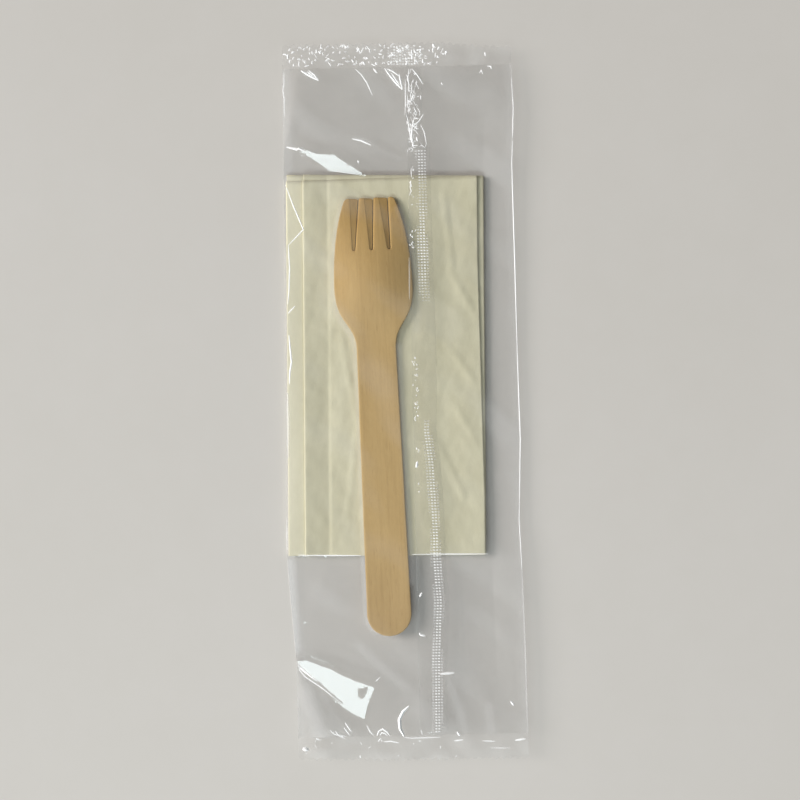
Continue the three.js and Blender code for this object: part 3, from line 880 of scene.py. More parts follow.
PLEATS = [
    Pleat(
        [
            (-36.4, 92.0), (-29.2, 87.2), (-25.4, 84.5), (-19.8, 83.7), (-12.1, 82.1),
            (-22.6, 88.8), (-24.2, 90.2), (-25.5, 89.9), (-30.6, 90.5), (-36.4, 93.0),
        ],
        254, 0.432, 0.9,
    ),
    Pleat(
        [
            (-38.6, -96.9), (-31.7, -103.3), (-25.3, -108.9), (-22.9, -112.8), (-19.1, -114.3),
            (-17.5, -115.8), (-16.2, -110.7), (-14.5, -106.5), (-13.3, -104.0), (-20.0, -101.7),
            (-29.3, -97.1), (-37.8, -93.8), (-41.6, -94.0),
        ],
        237, 0.23, 1.2,
    ),
    Pleat([(-18.9, -105.3), (-18.2, -106.9), (-16.0, -104.2)], 40, 0.12, 0.4),
]
# Crease ridges whose milky white is a painted glint where the film's creases catch the light
CREASES = [
    Crease([(-41.4, 93.9), (-38.9, 93.3), (-36.4, 92.5), (-34.0, 91.5)], 0.9, 1.0, 0.6),
    Crease([(-41.1, -95.7), (-40.1, -97.1), (-36.5, -99.6), (-34.3, -101.4)], 0.6, 0.9),
    Crease([(-41.1, -95.7), (-40.7, -97.8), (-38.6, -100.2), (-31.7, -104.7), (-24.9, -110.3)], 0.4, 0.8),
    Crease([(-24.4, -116.8), (-22.0, -120.3)], 0.5, 0.7),
    Crease([(-30.0, -119.4), (-28.2, -121.0), (-24.2, -121.8)], 0.6, 0.4),
    Crease([(-35.4, 121.4), (-33.2, 120.0), (-29.0, 117.6)], 0.9, 0.9),
    Crease([(-29.0, 117.6), (-30.6, 119.8), (-32.6, 121.4)], 0.6, 0.7),
    Crease([(-33.0, 120.9), (-30.6, 118.9)], 0.7, 0.5),
    Crease([(-4.8, 121.4), (-2.6, 118.4), (-0.4, 115.6), (1.5, 113.6)], 0.8, 0.95),
    Crease([(1.5, 113.6), (0.9, 116.6), (0.4, 119.4)], 0.6, 0.9),
    Crease([(-4.0, 121.3), (-1.8, 120.3), (0.4, 118.6)], 0.6, 0.75),
    Crease([(-2.4, 119.8), (0.4, 115.4)], 0.5, 0.6),
    Crease([(-0.9, -111.2), (-3.1, -113.2), (-4.5, -116.1), (-4.3, -119.4), (-2.9, -122.2)], 1.3, 1.0),
    Crease([(10.7, -99.6), (13.2, -99.4), (15.8, -99.3)], 0.9, 1.0, 0.8),
    Crease([(-40.0, -125.9), (-37.8, -126.3)], 1.6, 1.0, 0.3),
    Crease([(-3.0, -122.6), (-0.1, -122.9), (10.2, -122.9)], 0.5, 0.5, 0.2),
    Crease([(15.3, -124.2), (18.6, -123.9)], 0.5, 0.8, 0.4),
    Crease([(16.4, -120.9), (17.5, -122.5)], 0.8, 0.9),
    Crease([(25.5, -124.4), (30.2, -124.7)], 0.45, 0.5, 0.4),
    Crease([(37.5, -124.4), (41.3, -123.9)], 0.7, 0.9, 0.4),
    Crease([(28.4, -127.0), (35.7, -127.2)], 0.4, 0.3, 0.4),
    Crease([(-15.5, 121.4), (-13.5, 119.6), (-11.4, 116.4), (-9.5, 111.8)], 0.45, 0.85),
    Crease([(5.1, 121.2), (7.2, 118.6), (9.1, 115.4)], 0.5, 0.9),
    Crease([(-8.9, 121.5), (-7.6, 119.8)], 0.7, 0.8),
    Crease([(15.7, 115.9), (16.2, 115.0)], 0.6, 0.5),
    Crease([(29.7, 118.9), (30.4, 120.2), (30.9, 118.7)], 0.45, 0.5),
    Crease([(32.6, 121.6), (33.8, 121.4), (34.2, 120.4)], 0.5, 0.7),
    Crease([(31.8, 126.6), (32.0, 125.2)], 0.6, 0.7, 0.4),
    Crease([(-17.3, 96.1), (-14.0, 95.4), (-10.4, 93.6)], 0.7, 0.9),
    Crease([(-15.3, 88.2), (-15.0, 87.1)], 0.6, 0.7),
    Crease([(-42.1, 80.2), (-39.2, 72.1), (-35.7, 63.4), (-41.4, 57.9)], 0.5, 0.9),
    Crease([(-41.4, 57.9), (-41.1, 49.5), (-41.5, 41.4), (-42.1, 36.3)], 0.5, 0.85),
    Crease([(-42.1, 32.9), (-39.4, 35.6)], 0.45, 0.6),
    Crease([(-41.9, 25.0), (-41.1, 15.1), (-41.8, 11.5), (-42.1, 7.1)], 0.7, 0.85),
    Crease([(-42.8, 4.0), (-42.7, -8.0), (-43.1, -20.0)], 1.0, 0.2),
    Crease([(-44.0, -42.0), (-44.3, -54.0)], 1.0, 0.12),
    Crease([(-41.6, 120.9), (-41.6, 116.7), (-42.1, 114.2), (-41.7, 111.2), (-41.9, 105.0)], 0.4, 0.45),
    Crease([(4.0, 84.7), (4.1, 81.3)], 0.35, 0.5, 0.5),
    Crease([(3.9, 80.3), (3.6, 77.9), (3.9, 76.4), (3.2, 74.8)], 0.4, 0.6, 0.5),
    Crease([(2.6, 52.2), (2.6, 46.0), (2.4, 36.9)], 0.5, 0.15, 0.3),
    Crease([(4.1, -22.0), (3.6, -24.4)], 0.9, 1.0, 0.5),
    Crease([(3.8, -71.4), (4.7, -69.8)], 0.7, 0.9, 0.5),
    Crease([(3.4, -84.4), (3.9, -85.2), (5.6, -85.6)], 0.8, 0.9, 0.5),
    Crease([(-12.8, -121.8), (-12.1, -120.1), (-10.6, -119.4), (-9.1, -120.4), (-8.1, -121.9)], 0.6, 0.85),
    Crease([(-11.7, -121.8), (-11.0, -120.7), (-9.9, -120.9), (-9.0, -121.9)], 0.5, 0.7),
    Crease([(-12.5, -124.0), (-11.4, -122.8)], 0.5, 0.6),
    Crease([(-10.3, -124.1), (-7.8, -123.9), (-4.8, -124.6)], 0.5, 0.7),
    Crease([(-16.4, -118.0), (-15.3, -120.2), (-13.9, -121.7)], 0.6, 0.45),
    Crease([(-28.1, -119.6), (-26.7, -121.4), (-24.5, -122.6)], 0.6, 0.4),
    Crease([(-24.8, -118.6), (-23.7, -120.1), (-22.7, -121.5)], 0.45, 0.6),
    Crease([(-12.8, -102.0), (-11.3, -100.6)], 0.5, 0.4),
    Crease([(-35.1, -122.4), (-33.9, -122.8)], 0.6, 0.8),
    Crease([(3.3, -119.9), (3.8, -121.8)], 0.45, 0.5),
    Crease([(36.2, -110.0), (37.3, -111.7)], 0.8, 0.9),
    Crease([(-40.2, -55.4), (-28.6, -55.7), (-17.3, -55.9)], 0.45, 0.75),
    Crease([(1.4, -55.9), (11.6, -56.0), (26.9, -56.3), (29.0, -56.3)], 0.45, 0.75),
    Crease([(4.1, 121.0), (3.6, 117.7), (3.9, 114.9), (3.5, 113.0)], 0.4, 0.65, 0.9),
    Crease([(2.6, 117.0), (2.5, 107.9), (2.2, 104.2)], 0.4, 0.6, 0.9),
    Crease([(3.3, 111.4), (3.3, 107.2), (4.6, 105.6)], 0.35, 0.5, 0.9),
    Crease([(5.6, 111.4), (4.4, 109.0)], 0.6, 0.7, 0.9),
    Crease([(8.1, 111.3), (8.1, 109.7)], 0.5, 0.6, 0.9),
    Crease([(3.0, 103.7), (3.6, 99.7), (4.1, 96.3), (5.0, 93.0), (6.6, 92.9)], 0.5, 0.65, 0.9),
    Crease([(5.7, 103.2), (4.9, 100.7), (4.5, 96.7), (4.8, 94.1)], 0.5, 0.75, 0.9),
    Crease([(8.9, 104.3), (7.3, 101.8), (5.1, 100.0), (7.0, 99.0)], 0.45, 0.75, 0.9),
    Crease([(5.7, 103.0), (7.0, 102.7)], 0.5, 0.8, 0.9),
    Crease([(7.8, 100.6), (9.1, 97.8), (9.8, 93.5), (9.4, 92.6)], 0.4, 0.5, 0.9),
    Crease([(6.2, 96.1), (6.6, 94.5)], 0.7, 0.7, 0.9),
]
# Corners, reach and strength of each streak of painted sheen on the film
PAINTED_SHEEN_STREAKS = [
    ([(-19.0, -89.0), (-11.0, -97.0), (-1.5, -105.0)], 3.4, 0.07),
    ([(13.5, -101.0), (17.0, -112.0), (19.5, -121.0)], 3.0, 0.08),
    ([(19.0, -70.0), (19.6, -96.0)], 1.4, 0.04),
    ([(-39.5, -106.0), (-36.0, -115.0), (-33.5, -122.0)], 7.0, 0.17),
    ([(-32.5, -106.0), (-28.0, -115.0), (-26.0, -122.0)], 2.4, 0.06),
    ([(28.0, -112.0), (29.0, -121.0)], 3.2, 0.07),
    ([(-43.4, -58.5), (-42.9, -70.0), (-42.0, -90.0)], 4.0, 0.24),
    ([(-1.0, 70.0), (3.6, 56.0), (6.2, 42.0), (5.0, 26.0)], 2.6, 0.1),
    ([(-16.5, 93.5), (-6.0, 91.0), (0.0, 88.5)], 2.0, 0.05),
    ([(-17.5, 97.0), (-12.0, 95.6), (-9.0, 93.0)], 1.6, 0.08),
    ([(2.0, -57.0), (3.0, -84.0)], 3.0, 0.05),
    # Painted light that lifts the shadow beside the handle's right edge
    ([(-1.8, 20.0), (-0.2, -30.0), (1.2, -66.0)], 2.4, 0.1),
    ([(-3.6, 120.6), (0.8, 115.2)], 2.2, 0.12),
    ([(20.0, 92.0), (36.0, 104.0)], 9.0, 0.035),
    ([(-34.0, 120.8), (-30.0, 118.4)], 1.6, 0.1),
]
CREASE_STEP = 0.4
CREASE_STEEPNESS = 0.4
CREASE_SEAT = 0.02


def end_share(y):
    """How far a place has gone up the ramp from the contents to the nearer end seal."""
    flat_end = FLAT_MARGIN + np.where(y > 0, CONTENTS_TOP, -CONTENTS_BOTTOM)
    return smoothstep(np.abs(y), flat_end, SEAL_LINE)


def back_height(x, y):
    """The back film: flat under the contents, raised along the right-hand fold and to the buckled seals."""
    ends = END_LIFT * end_share(y)
    margin = np.clip((x - RIGHT_MARGIN_FROM) / (PACK_HALF_WIDTH - RIGHT_MARGIN_FROM), 0, 1)
    top, bottom = (ripples(x, np.zeros_like(x), SEAL_BUCKLE_WAVE, seed) for seed in (32, 30))
    buckle = SEAL_BUCKLE * np.where(y > 0, top, bottom) * (1 - (x / PACK_HALF_WIDTH) ** 2)
    buckle = buckle * smoothstep(np.abs(y), SEAL_LINE - SEAL_BUCKLE_OVER, SEAL_LINE)
    lift = np.maximum(np.interp(y, RIGHT_LIFT_AT, RIGHT_LIFT) - ends, 0)
    return FILM + ends + buckle + margin * lift


def contents_top(x, y):
    """The height that the film has to clear, and that of its even slopes from the napkin: 0 beside them."""
    across, along = in_frame_of(x, y, NAPKIN_CENTRE, NAPKIN_TURN)
    upper = NAPKIN_THICKNESS + np.maximum(paper_rise(across, along), 0)
    folded = np.where(across > TOP_FOLD, upper, LAYER + LAYER_PITCH + lower_rise(across))
    beside = (across < -NAPKIN_WIDTH / 2 - LOWER_REACH_LEFT) | (across > NAPKIN_WIDTH / 2)
    beyond = np.maximum(np.abs(along) - NAPKIN_LENGTH / 2, 0)
    slopes = np.where(beside, 0, NAPKIN_SEAT + folded + FILM_GAP - FILM_SLOPE * beyond)
    napkin = np.where(beyond > 0, 0, slopes)
    across, along = in_frame_of(x, y, FORK_CENTRE, FORK_TURN)
    distance = FORK_LENGTH / 2 - along
    on_fork = np.abs(across) < fork_half_width(distance) + FILM_FORK_MARGIN
    fork = FORK_SEAT + FORK_THICKNESS + scoop_rise(across, distance) + FILM_GAP
    return np.where(on_fork, fork, napkin), slopes


def finer(values, axis):
    """Values with one more between each two neighbours."""
    middles = (np.delete(values, 0, axis) + np.delete(values, -1, axis)) / 2
    places = np.arange(1, values.shape[axis])
    return np.insert(values, places, middles, axis)


def taut(rest, held):
    """A sheet pulled taut over rest and fixed where held: it settles coarsely first, then finely."""
    sheet = None
    for step in TAUT_STEPS:
        floor = rest[::step, ::step]
        fixed = held[::step, ::step]
        sheet = floor.copy() if sheet is None else finer(finer(sheet, 0), 1)
        for _ in range(TAUT_ROUNDS):
            mean = (sheet[:-2, 1:-1] + sheet[2:, 1:-1] + sheet[1:-1, :-2] + sheet[1:-1, 2:]) / 4
            sheet[1:-1, 1:-1] = np.maximum(floor[1:-1, 1:-1], mean)
            sheet = np.where(fixed, floor, sheet)
    return sheet


def at_share(grid, across, along):
    """Values of a grid at shares of its width and length."""
    rows, columns = grid.shape
    row = np.clip(np.asarray(along) * (rows - 1), 0, rows - 1 - ROUNDING)
    column = np.clip(np.asarray(across) * (columns - 1), 0, columns - 1 - ROUNDING)
    r, c = row.astype(int), column.astype(int)
    fr, fc = row - r, column - c
    near = grid[r, c] * (1 - fc) + grid[r, c + 1] * fc
    far = grid[r + 1, c] * (1 - fc) + grid[r + 1, c + 1] * fc
    return near * (1 - fr) + far * fr


def left_edge(y):
    """The place of the left-hand fold, which the askew napkin pushes out."""
    return -PACK_HALF_WIDTH - np.interp(y, LEFT_FOLD_AT, LEFT_FOLD_OUT)


def right_edge(y):
    """The place of the right-hand fold, which wanders a little."""
    return PACK_HALF_WIDTH - np.interp(y, RIGHT_FOLD_AT, RIGHT_FOLD_INSET)


def height_on(sheet, x, y):
    """The height of the front film at points of the pack."""
    across = (x - left_edge(y)) / (right_edge(y) - left_edge(y))
    return at_share(sheet, across, (y + SEAL_LINE) / (2 * SEAL_LINE))


def on_edges(x, y, rings, reach):
    """Grid points moved onto the nearest edge of some rings where one is within reach."""
    nearest = np.full(x.shape, reach)
    moved_x, moved_y = x.copy(), y.copy()
    for ring in rings:
        for start, end in zip(ring, ring[1:] + ring[:1]):
            edge_x, edge_y = onto_edge(x, y, start, end)
            distance = np.hypot(x - edge_x, y - edge_y)
            moved_x = np.where(distance < nearest, edge_x, moved_x)
            moved_y = np.where(distance < nearest, edge_y, moved_y)
            nearest = np.minimum(nearest, distance)
    for moved, kept in ((moved_x, x), (moved_y, y)):
        moved[[0, -1]] = kept[[0, -1]]
        moved[:, [0, -1]] = kept[:, [0, -1]]
    return moved_x, moved_y


def cheek_edge(pleat):
    """The edge of a pleat's cheek, a little outside the part that shines."""
    return inset(np.array(pleat.cheek), -PLEAT_MARGIN)


def pleated(x, y, sheet, pleat):
    """The sheet with one pleat: a flat cheek that rises from its lowest corner, with a skirt round it."""
    uphill = math.radians(pleat.faces + 180)
    cheek = cheek_edge(pleat)
    climb = cheek @ (math.cos(uphill), math.sin(uphill))
    ground = height_on(sheet, cheek[:, 0], cheek[:, 1])
    lowest = np.argmin(climb)
    climbed = x * math.cos(uphill) + y * math.sin(uphill) - climb[lowest]
    plane = ground[lowest] + pleat.slope * climbed
    rises = ground[lowest] + pleat.slope * (climb - climb[lowest]) - ground
    rises = np.concatenate([rises, np.zeros(len(cheek))])
    corners = [Vector(c) for c in np.concatenate([cheek, inset(cheek, -pleat.skirt)])]
    border = [list(range(len(cheek)))]
    places, _, faces, sources, _, owners = delaunay_2d_cdt(corners, [], border, 0, SAME_PLACE)
    total = sheet.copy()
    for face, owner in zip(faces, owners):
        if any(not sources[k] for k in face):
            continue
        (ax, ay), (bx, by), (cx, cy) = (places[k] for k in face)
        ha, hb, hc = (rises[sources[k][0]] for k in face)
        area = (bx - ax) * (cy - ay) - (cx - ax) * (by - ay)
        b = ((x - ax) * (cy - ay) - (cx - ax) * (y - ay)) / area
        c = ((bx - ax) * (y - ay) - (x - ax) * (by - ay)) / area
        inside = (b >= -ROUNDING) & (c >= -ROUNDING) & (b + c <= 1 + ROUNDING)
        skirt = sheet + ha + b * (hb - ha) + c * (hc - ha)
        total = np.where(inside, plane if owner else skirt, total)
    return total


def fold_round(y, largest):
    """The radius of a side fold, which flattens towards the end seals."""
    share = smoothstep(SEAL_LINE - np.abs(y), 0, FOLD_FLATTENS_OVER)
    return FLAT_FOLD_ROUND + (largest - FLAT_FOLD_ROUND) * share


def film_slack(x, y):
    """Slack of the front film: ripples beyond the contents and small puckers by the seams."""
    slack = END_SLACK * end_share(y) * ripples(x, y * 0.6, 15, seed=41)
    by_seam = smoothstep(np.abs(y), SEAL_LINE - 7, SEAL_LINE - 1)
    slack = slack + SEAM_PUCKER * by_seam * ripples(x, y * 0.3, 6, seed=42)
    slack = slack * (1 - 0.8 * smoothstep(np.abs(x), *SIDES_TAUT_OVER))
    from_edge = np.minimum(PACK_HALF_WIDTH - np.abs(x), SEAL_LINE - np.abs(y))
    return slack * smoothstep(from_edge, 0.2, 1.6)


def front_film(x, y):
    """The front film: taut over the contents, slack beyond them, and pleated."""
    contents, slopes = contents_top(x, y)
    back = back_height(x, y)
    clear_of_back = back + SEAM_OPENING * np.clip((SEAL_LINE - np.abs(y)) / SEAM_OPENS_OVER, 0, 1)
    rest = np.maximum(np.maximum(contents, slopes), clear_of_back)
    rest[:, 0] = back[:, 0] + 2 * fold_round(y[:, 0], LEFT_FOLD_ROUND)
    rest[:, -1] = back[:, -1] + 2 * fold_round(y[:, -1], RIGHT_FOLD_ROUND)
    rest[[0, -1]] = back[[0, -1]]
    held = np.zeros(x.shape, bool)
    held[:, [0, -1]] = True
    held[[0, -1]] = True
    sheet = taut(rest, held)
    left_ramp = sheet[:, :1] + LEFT_RAMP * (x - x[:, :1])
    eased = np.maximum(np.minimum(sheet, left_ramp), clear_of_back)
    sheet = np.where(held, rest, np.where(contents > 0, sheet, eased)) + film_slack(x, y)
    x, y = on_edges(x, y, [cheek_edge(pleat).tolist() for pleat in PLEATS], PLEAT_SNAP)
    for pleat in PLEATS:
        sheet = pleated(x, y, sheet, pleat)
    sheet[1:-1, 1:-1] = np.maximum(sheet, clear_of_back)[1:-1, 1:-1]
    return x, y, sheet


def fork_hug(x, y):
    """1 in the band where the film comes down along the fork's left side, where a painted reflection goes,
    and 0 away from it.
    """
    across, along = in_frame_of(x, y, FORK_CENTRE, FORK_TURN)
    distance = FORK_LENGTH / 2 - along
    beside = -across - fork_half_width(distance)
    from_neck = (distance - NECK_HUG_AT) / NECK_HUG_LENGTH
    reach = FORK_HUG_REACH + NECK_HUG_EXTRA * np.exp(-(from_neck**2))
    return smoothstep(beside, -0.4, 0.1) * (1 - smoothstep(beside, reach * 0.5, reach))


def napkin_strip(x, y):
    """1 over the strip of the napkin's lower layers, left of its top layer, and 0 away from it."""
    across, along = in_frame_of(x, y, NAPKIN_CENTRE, NAPKIN_TURN)
    in_length = smoothstep(NAPKIN_LENGTH / 2 - np.abs(along), -0.6, 0.6)
    return smoothstep(TOP_FOLD - across, 0, 0.7) * in_length


def film_milk_and_painted_light(x, y):
    """How milky the film is, with painted light: faint clouds all over, more in its folds, where a painted
    highlight joins the crease whitening, painted sheen along its streaks and a painted reflection beside
    the fork.
    """
    clouds = ripples(0.24 * x - 0.18 * y, 0.62 * x + 0.79 * y, 13, seed=53)
    broken = np.clip(0.4 + 0.9 * ripples(x * 0, y, 9, seed=51), 0.05, 1)
    from_left = x - left_edge(y)
    from_right = x - right_edge(y)
    parts = [
        (FORK_SIDE_PAINTED_REFLECTION, fork_hug(x, y)),
        (NAPKIN_STRIP_MILK, napkin_strip(x, y)),
        (LEFT_MARGIN_MILK, 1 - smoothstep(from_left, 2.0, 5.0)),
        (LEFT_FOLD_MILK_AND_HIGHLIGHT, broken * (1 - smoothstep(from_left, 0.3, 0.8))),
        (RIGHT_FOLD_MILK_AND_HIGHLIGHT, smoothstep(from_right, -0.5, -0.2)),
    ]
    for corners, reach, milk_and_painted_light in PAINTED_SHEEN_STREAKS:
        parts.append((milk_and_painted_light, smoothstep(near_line(x, y, corners, reach), 0, 1)))
    haze_and_painted_light = FILM_MILK + CLOUD_MILK * np.clip(clouds, 0, 1)
    for milk_and_painted_light, share in parts:
        haze_and_painted_light = np.maximum(haze_and_painted_light, milk_and_painted_light * share)
    return haze_and_painted_light


def film_grid(ys, start, end, shares):
    """Places of the film at shares of the way between its side folds, row by row."""
    x = start[:, None] + (end - start)[:, None] * shares[None, :]
    return x, np.broadcast_to(ys[:, None], x.shape)


def film_tube():
    """The tube of film between the seals: front, right fold, back and left fold, row by row."""
    ys = np.linspace(-SEAL_LINE, SEAL_LINE, FILM_ROWS + 1)
    left, right = fold_round(ys, LEFT_FOLD_ROUND), fold_round(ys, RIGHT_FOLD_ROUND)
    start, end = left_edge(ys) + left, right_edge(ys) - right
    x_front, y_front = film_grid(ys, start, end, np.linspace(0, 1, FILM_COLUMNS + 1))
    x_front, y_front, z_front = front_film(x_front, y_front)
    x_back, y_back = film_grid(ys, start, end, np.linspace(1, 0, BACK_COLUMNS + 1))
    z_back = back_height(x_back, y_back)
    turns = np.linspace(0, math.pi, FOLD_STEPS + 2)[1:-1]
    x_right = end[:, None] + right[:, None] * np.sin(turns)
    z_right = z_back[:, :1] + right[:, None] * (1 + np.cos(turns))
    x_left = start[:, None] - left[:, None] * np.sin(turns)
    z_left = z_back[:, -1:] + left[:, None] * (1 - np.cos(turns))
    y_fold = np.broadcast_to(ys[:, None], x_right.shape)
    x = np.concatenate([x_front, x_right, x_back, x_left], axis=1)
    y = np.concatenate([y_front, y_fold, y_back, y_fold], axis=1)
    z = np.concatenate([z_front, z_right, z_back, z_left], axis=1)
    return x, y, z


def seal_strip(x_seam, z_seam, end):
    """One crimped end seal, from the seam to the saw-cut edge, with finer columns than the tube."""
    for _ in range(SEAL_FINER):
        x_seam, z_seam = finer(x_seam, 0), finer(z_seam, 0)
    columns = np.arange(len(x_seam))
    tooth = np.abs((columns % SAW_TOOTH_COLUMNS) - SAW_TOOTH_COLUMNS / 2) / (SAW_TOOTH_COLUMNS / 2)
    length = END_LINE - SEAL_LINE + np.interp(x_seam, *SEAL_EXTRA[end]) - SAW_TOOTH_DEPTH * tooth
    share = np.linspace(0, 1, SEAL_ROWS + 1)[1:, None]
    out = share * length[None, :]
    x = np.broadcast_to(x_seam[None, :], out.shape)
    y = end * (SEAL_LINE + out)
    pressed = smoothstep(out, 0.0, SEAL_PRESSED_OVER)
    waffle = np.sin(2 * math.pi * x / WAFFLE_PITCH) * np.sin(2 * math.pi * out / WAFFLE_PITCH)
    depth = CRIMP[end] * np.clip(0.35 + 0.7 * ripples(x, out, 5, seed=61 + end), 0.06, 1.2)
    depth = depth * (1 - 0.85 * smoothstep(x, *CRIMP_FADES_AT))
    flutter = SEAL_FLUTTER[end] * share**1.5 * ripples(x, out * 0.5, 19, seed=71 + end)
    z = z_seam[None, :] + pressed * depth * WAFFLE_HEIGHT / 2 * waffle + flutter
    return x, y, np.maximum(z, LOWEST_FILM)


def film_pack(material):
    """The film: the tube and its two end seals, as one web."""
    x, y, z = film_tube()
    numbers = numbered(x.shape)
    faces = ring_quads(numbers)
    points = [as_points(x, y, z)]
    haze_and_painted_light = [film_milk_and_painted_light(x, y).ravel()]
    front = slice(0, FILM_COLUMNS + 1)
    fine = 2**SEAL_FINER
    seals = {}
    for end, row in ((-1, 0), (1, -1)):
        seals[end] = seal_strip(x[row, front], z[row, front], end)
        across, along, _ = seals[end]
        strip = numbered(across.shape, sum(len(part) for part in points))
        seam = numbers[row, front]
        for k in range(FILM_COLUMNS):
            edge = strip[0, fine * k : fine * (k + 1) + 1][::-1]
            faces.append([int(v) for v in (seam[k], seam[k + 1], *edge)])
        faces += grid_quads(strip)
        points.append(as_points(*seals[end]))
        cloudy = SEAL_MILK[end] + 0.05 * ripples(across, along, 9, seed=81 + end)
        haze_and_painted_light.append(np.clip(cloudy, 0.01, 0.25).ravel())
    points = np.concatenate(points)
    film = new_piece("film_pack", points, faces, material, "film_wrapper", 14)
    set_points(film, "haze_and_painted_light", np.concatenate(haze_and_painted_light))
    return film, z[:, front], seals


def on_fin(sheet, u, y):
    """Places of the fin seal across the pack and above the table, from the distance u from its root."""
    crumpled = smoothstep(y, FIN_CRUMPLED_FROM, FIN_CRUMPLED_FROM + FIN_CRUMPLES_OVER)
    drift = np.interp(y, FIN_DRIFT_AT, FIN_DRIFT) * smoothstep(u, 0, KNURL_FROM)
    x = FIN_ROOT_X + u * (1 - FIN_CRUMPLED_NARROWING * crumpled) + drift
    loose = np.clip(0.45 + 0.4 * ripples(u * 0, y, 13, seed=97), 0.15, 1)
    lift = FIN_STAND_OFF * loose * smoothstep(u, 0, 1.2)
    lift = lift + FIN_WAVE * smoothstep(u, 0, 4) * ripples(u * 0.2, y, 30, seed=92)
    ridges = 1 - np.abs(ripples(u, y * 0.7, 4.5, seed=93))
    crushed = FIN_CRUSH * crumpled * smoothstep(u, 0, 1) * ridges
    from_seal = smoothstep(SEAL_LINE - np.abs(y), 0, FIN_SETTLES_OVER)
    stand_off = FIN_CLEARANCE + from_seal * (np.maximum(lift, FIN_LEAST_LIFT) + crushed)
    return x, height_on(sheet, x, y) + stand_off


def pressed_points(x, y, z, milk_and_painted_light, start):
    """Low points, pressed into film at given places and painted white as glints. Those with next to no
    glint are left out.
    """
    half_x, half_y = KNURL_POINT[0] / 2, KNURL_POINT[1] / 2
    base = [
        (-half_x, -half_y),
        (half_x, -half_y - KNURL_SKEW),
        (half_x, half_y - KNURL_SKEW),
        (-half_x, half_y),
    ]
    points, faces, haze_and_painted_light = [], [], []
    for px, py, pz, white in zip(x, y, z, milk_and_painted_light):
        if white < LEAST_GLINT:
            continue
        first = start + len(points)
        points += [(px + dx, py + dy, pz + KNURL_SEAT) for dx, dy in base]
        points.append((px - KNURL_LEAN, py, pz + KNURL_HEIGHT))
        faces += [[first + k, first + (k + 1) % 4, first + 4] for k in range(4)]
        faces.append([first + 3, first + 2, first + 1, first])
        haze_and_painted_light += [white] * 5
    return np.array(points), faces, np.array(haze_and_painted_light)


def knurl(sheet, start):
    """The knurl: rows of small pressed points along the fin, painted white as glints that fade where the
    fin lies flat.
    """
    rows = np.arange(-SEAL_LINE + 1.2, FIN_CRUMPLED_FROM, KNURL_PITCH)
    column, y = (part.ravel() for part in np.meshgrid(np.arange(KNURL_COLUMNS), rows))
    u = KNURL_FROM + column * KNURL_PITCH
    x, z = on_fin(sheet, u, y)
    patchy = np.array(KNURL_GLINT_STRENGTH)[column] + 0.45 * ripples(column * 9.0, y, 13, seed=96)
    milk_and_painted_light = np.interp(y, KNURL_GLINT_SHOWN_AT, KNURL_GLINT_SHOWN) * np.clip(patchy, 0, 1)
    milk_and_painted_light = milk_and_painted_light * np.random.default_rng(95).uniform(0.85, 1.0, len(u))
    return pressed_points(x, y, z, milk_and_painted_light, start)


def film_fin(material, sheet):
    """The fin seal: a double strip that lies over to the right, with rows of knurl points along it."""
    across = np.linspace(0, FIN_WIDTH, round(FIN_WIDTH / FIN_STEP) + 1)
    along = np.linspace(-SEAL_LINE, SEAL_LINE, round(2 * SEAL_LINE / FIN_STEP) + 1)
    u, y = np.meshgrid(across, along)
    x, z = on_fin(sheet, u, y)
    points = as_points(x, y, z)
    faces = grid_quads(numbered(u.shape))
    broken = np.clip(0.5 + 0.7 * ripples(u * 0, y, 15, seed=94), 0.1, 1)
    haze_and_painted_light = np.maximum(FIN_ROOT_MILK * (1 - smoothstep(u, 0.2, 0.7)) * broken, FIN_MILK).ravel()
    knurl_points, knurl_faces, knurl_glints = knurl(sheet, len(points))
    points = np.concatenate([points, knurl_points])
    fin = new_piece("film_fin", points, faces + knurl_faces, material, "film_wrapper", 30)
    set_points(fin, "haze_and_painted_light", np.concatenate([haze_and_painted_light, knurl_glints]))
    return fin


def resampled(corners):
    """Points along a line of corners, at even steps."""
    points = [corners[0]]
    for p, q in zip(corners, corners[1:]):
        steps = max(2, round(math.dist(p, q) / CREASE_STEP))
        points += [tuple(a + (b - a) * k / steps for a, b in zip(p, q)) for k in range(1, steps + 1)]
    return np.array(points)


def ridge(line, width, start):
    """A pinched ridge along a line of points: a slim three-sided bar, pointed at both ends."""
    line = np.array(line)
    ahead = np.gradient(line[:, :2], axis=0)
    ahead /= np.linalg.norm(ahead, axis=1, keepdims=True)
    side = np.column_stack([-ahead[:, 1], ahead[:, 0], np.zeros(len(line))])
    taper = np.sin(math.pi * np.linspace(0.04, 0.96, len(line))) ** 0.5 * width / 2
    base = line + (0, 0, CREASE_SEAT)
    top = line + np.column_stack([np.zeros((len(line), 2)), CREASE_SEAT + CREASE_STEEPNESS * 2 * taper])
    points = np.stack([base + side * taper[:, None], top, base - side * taper[:, None]], axis=1)
    numbers = numbered((len(line), 3), start)
    faces = ring_quads(numbers)
    faces += [numbers[0].tolist(), numbers[-1][::-1].tolist()]
    return points.reshape(-1, 3), faces


def crumple_glints(sheet):
    """Fine crushed lines on the crumpled end of the fin, painted white as glints, with a width and a
    painted glint strength each.
    """
    draw = np.random.default_rng(103)
    for _ in range(TANGLE_LINES):
        u = draw.uniform(0.2, 5.5) + np.cumsum(draw.uniform(-1.1, 1.1, 4))
        y = draw.uniform(FIN_CRUMPLED_FROM, SEAL_LINE - 2) + np.cumsum(draw.uniform(-1.6, 1.2, 4))
        flat = resampled(list(zip(np.clip(u, 0, 7), y)))
        x, z = on_fin(sheet, flat[:, 0], flat[:, 1])
        yield np.column_stack([x, flat[:, 1], z + 0.05]), draw.uniform(0.18, 0.34), draw.uniform(0.25, 0.7)


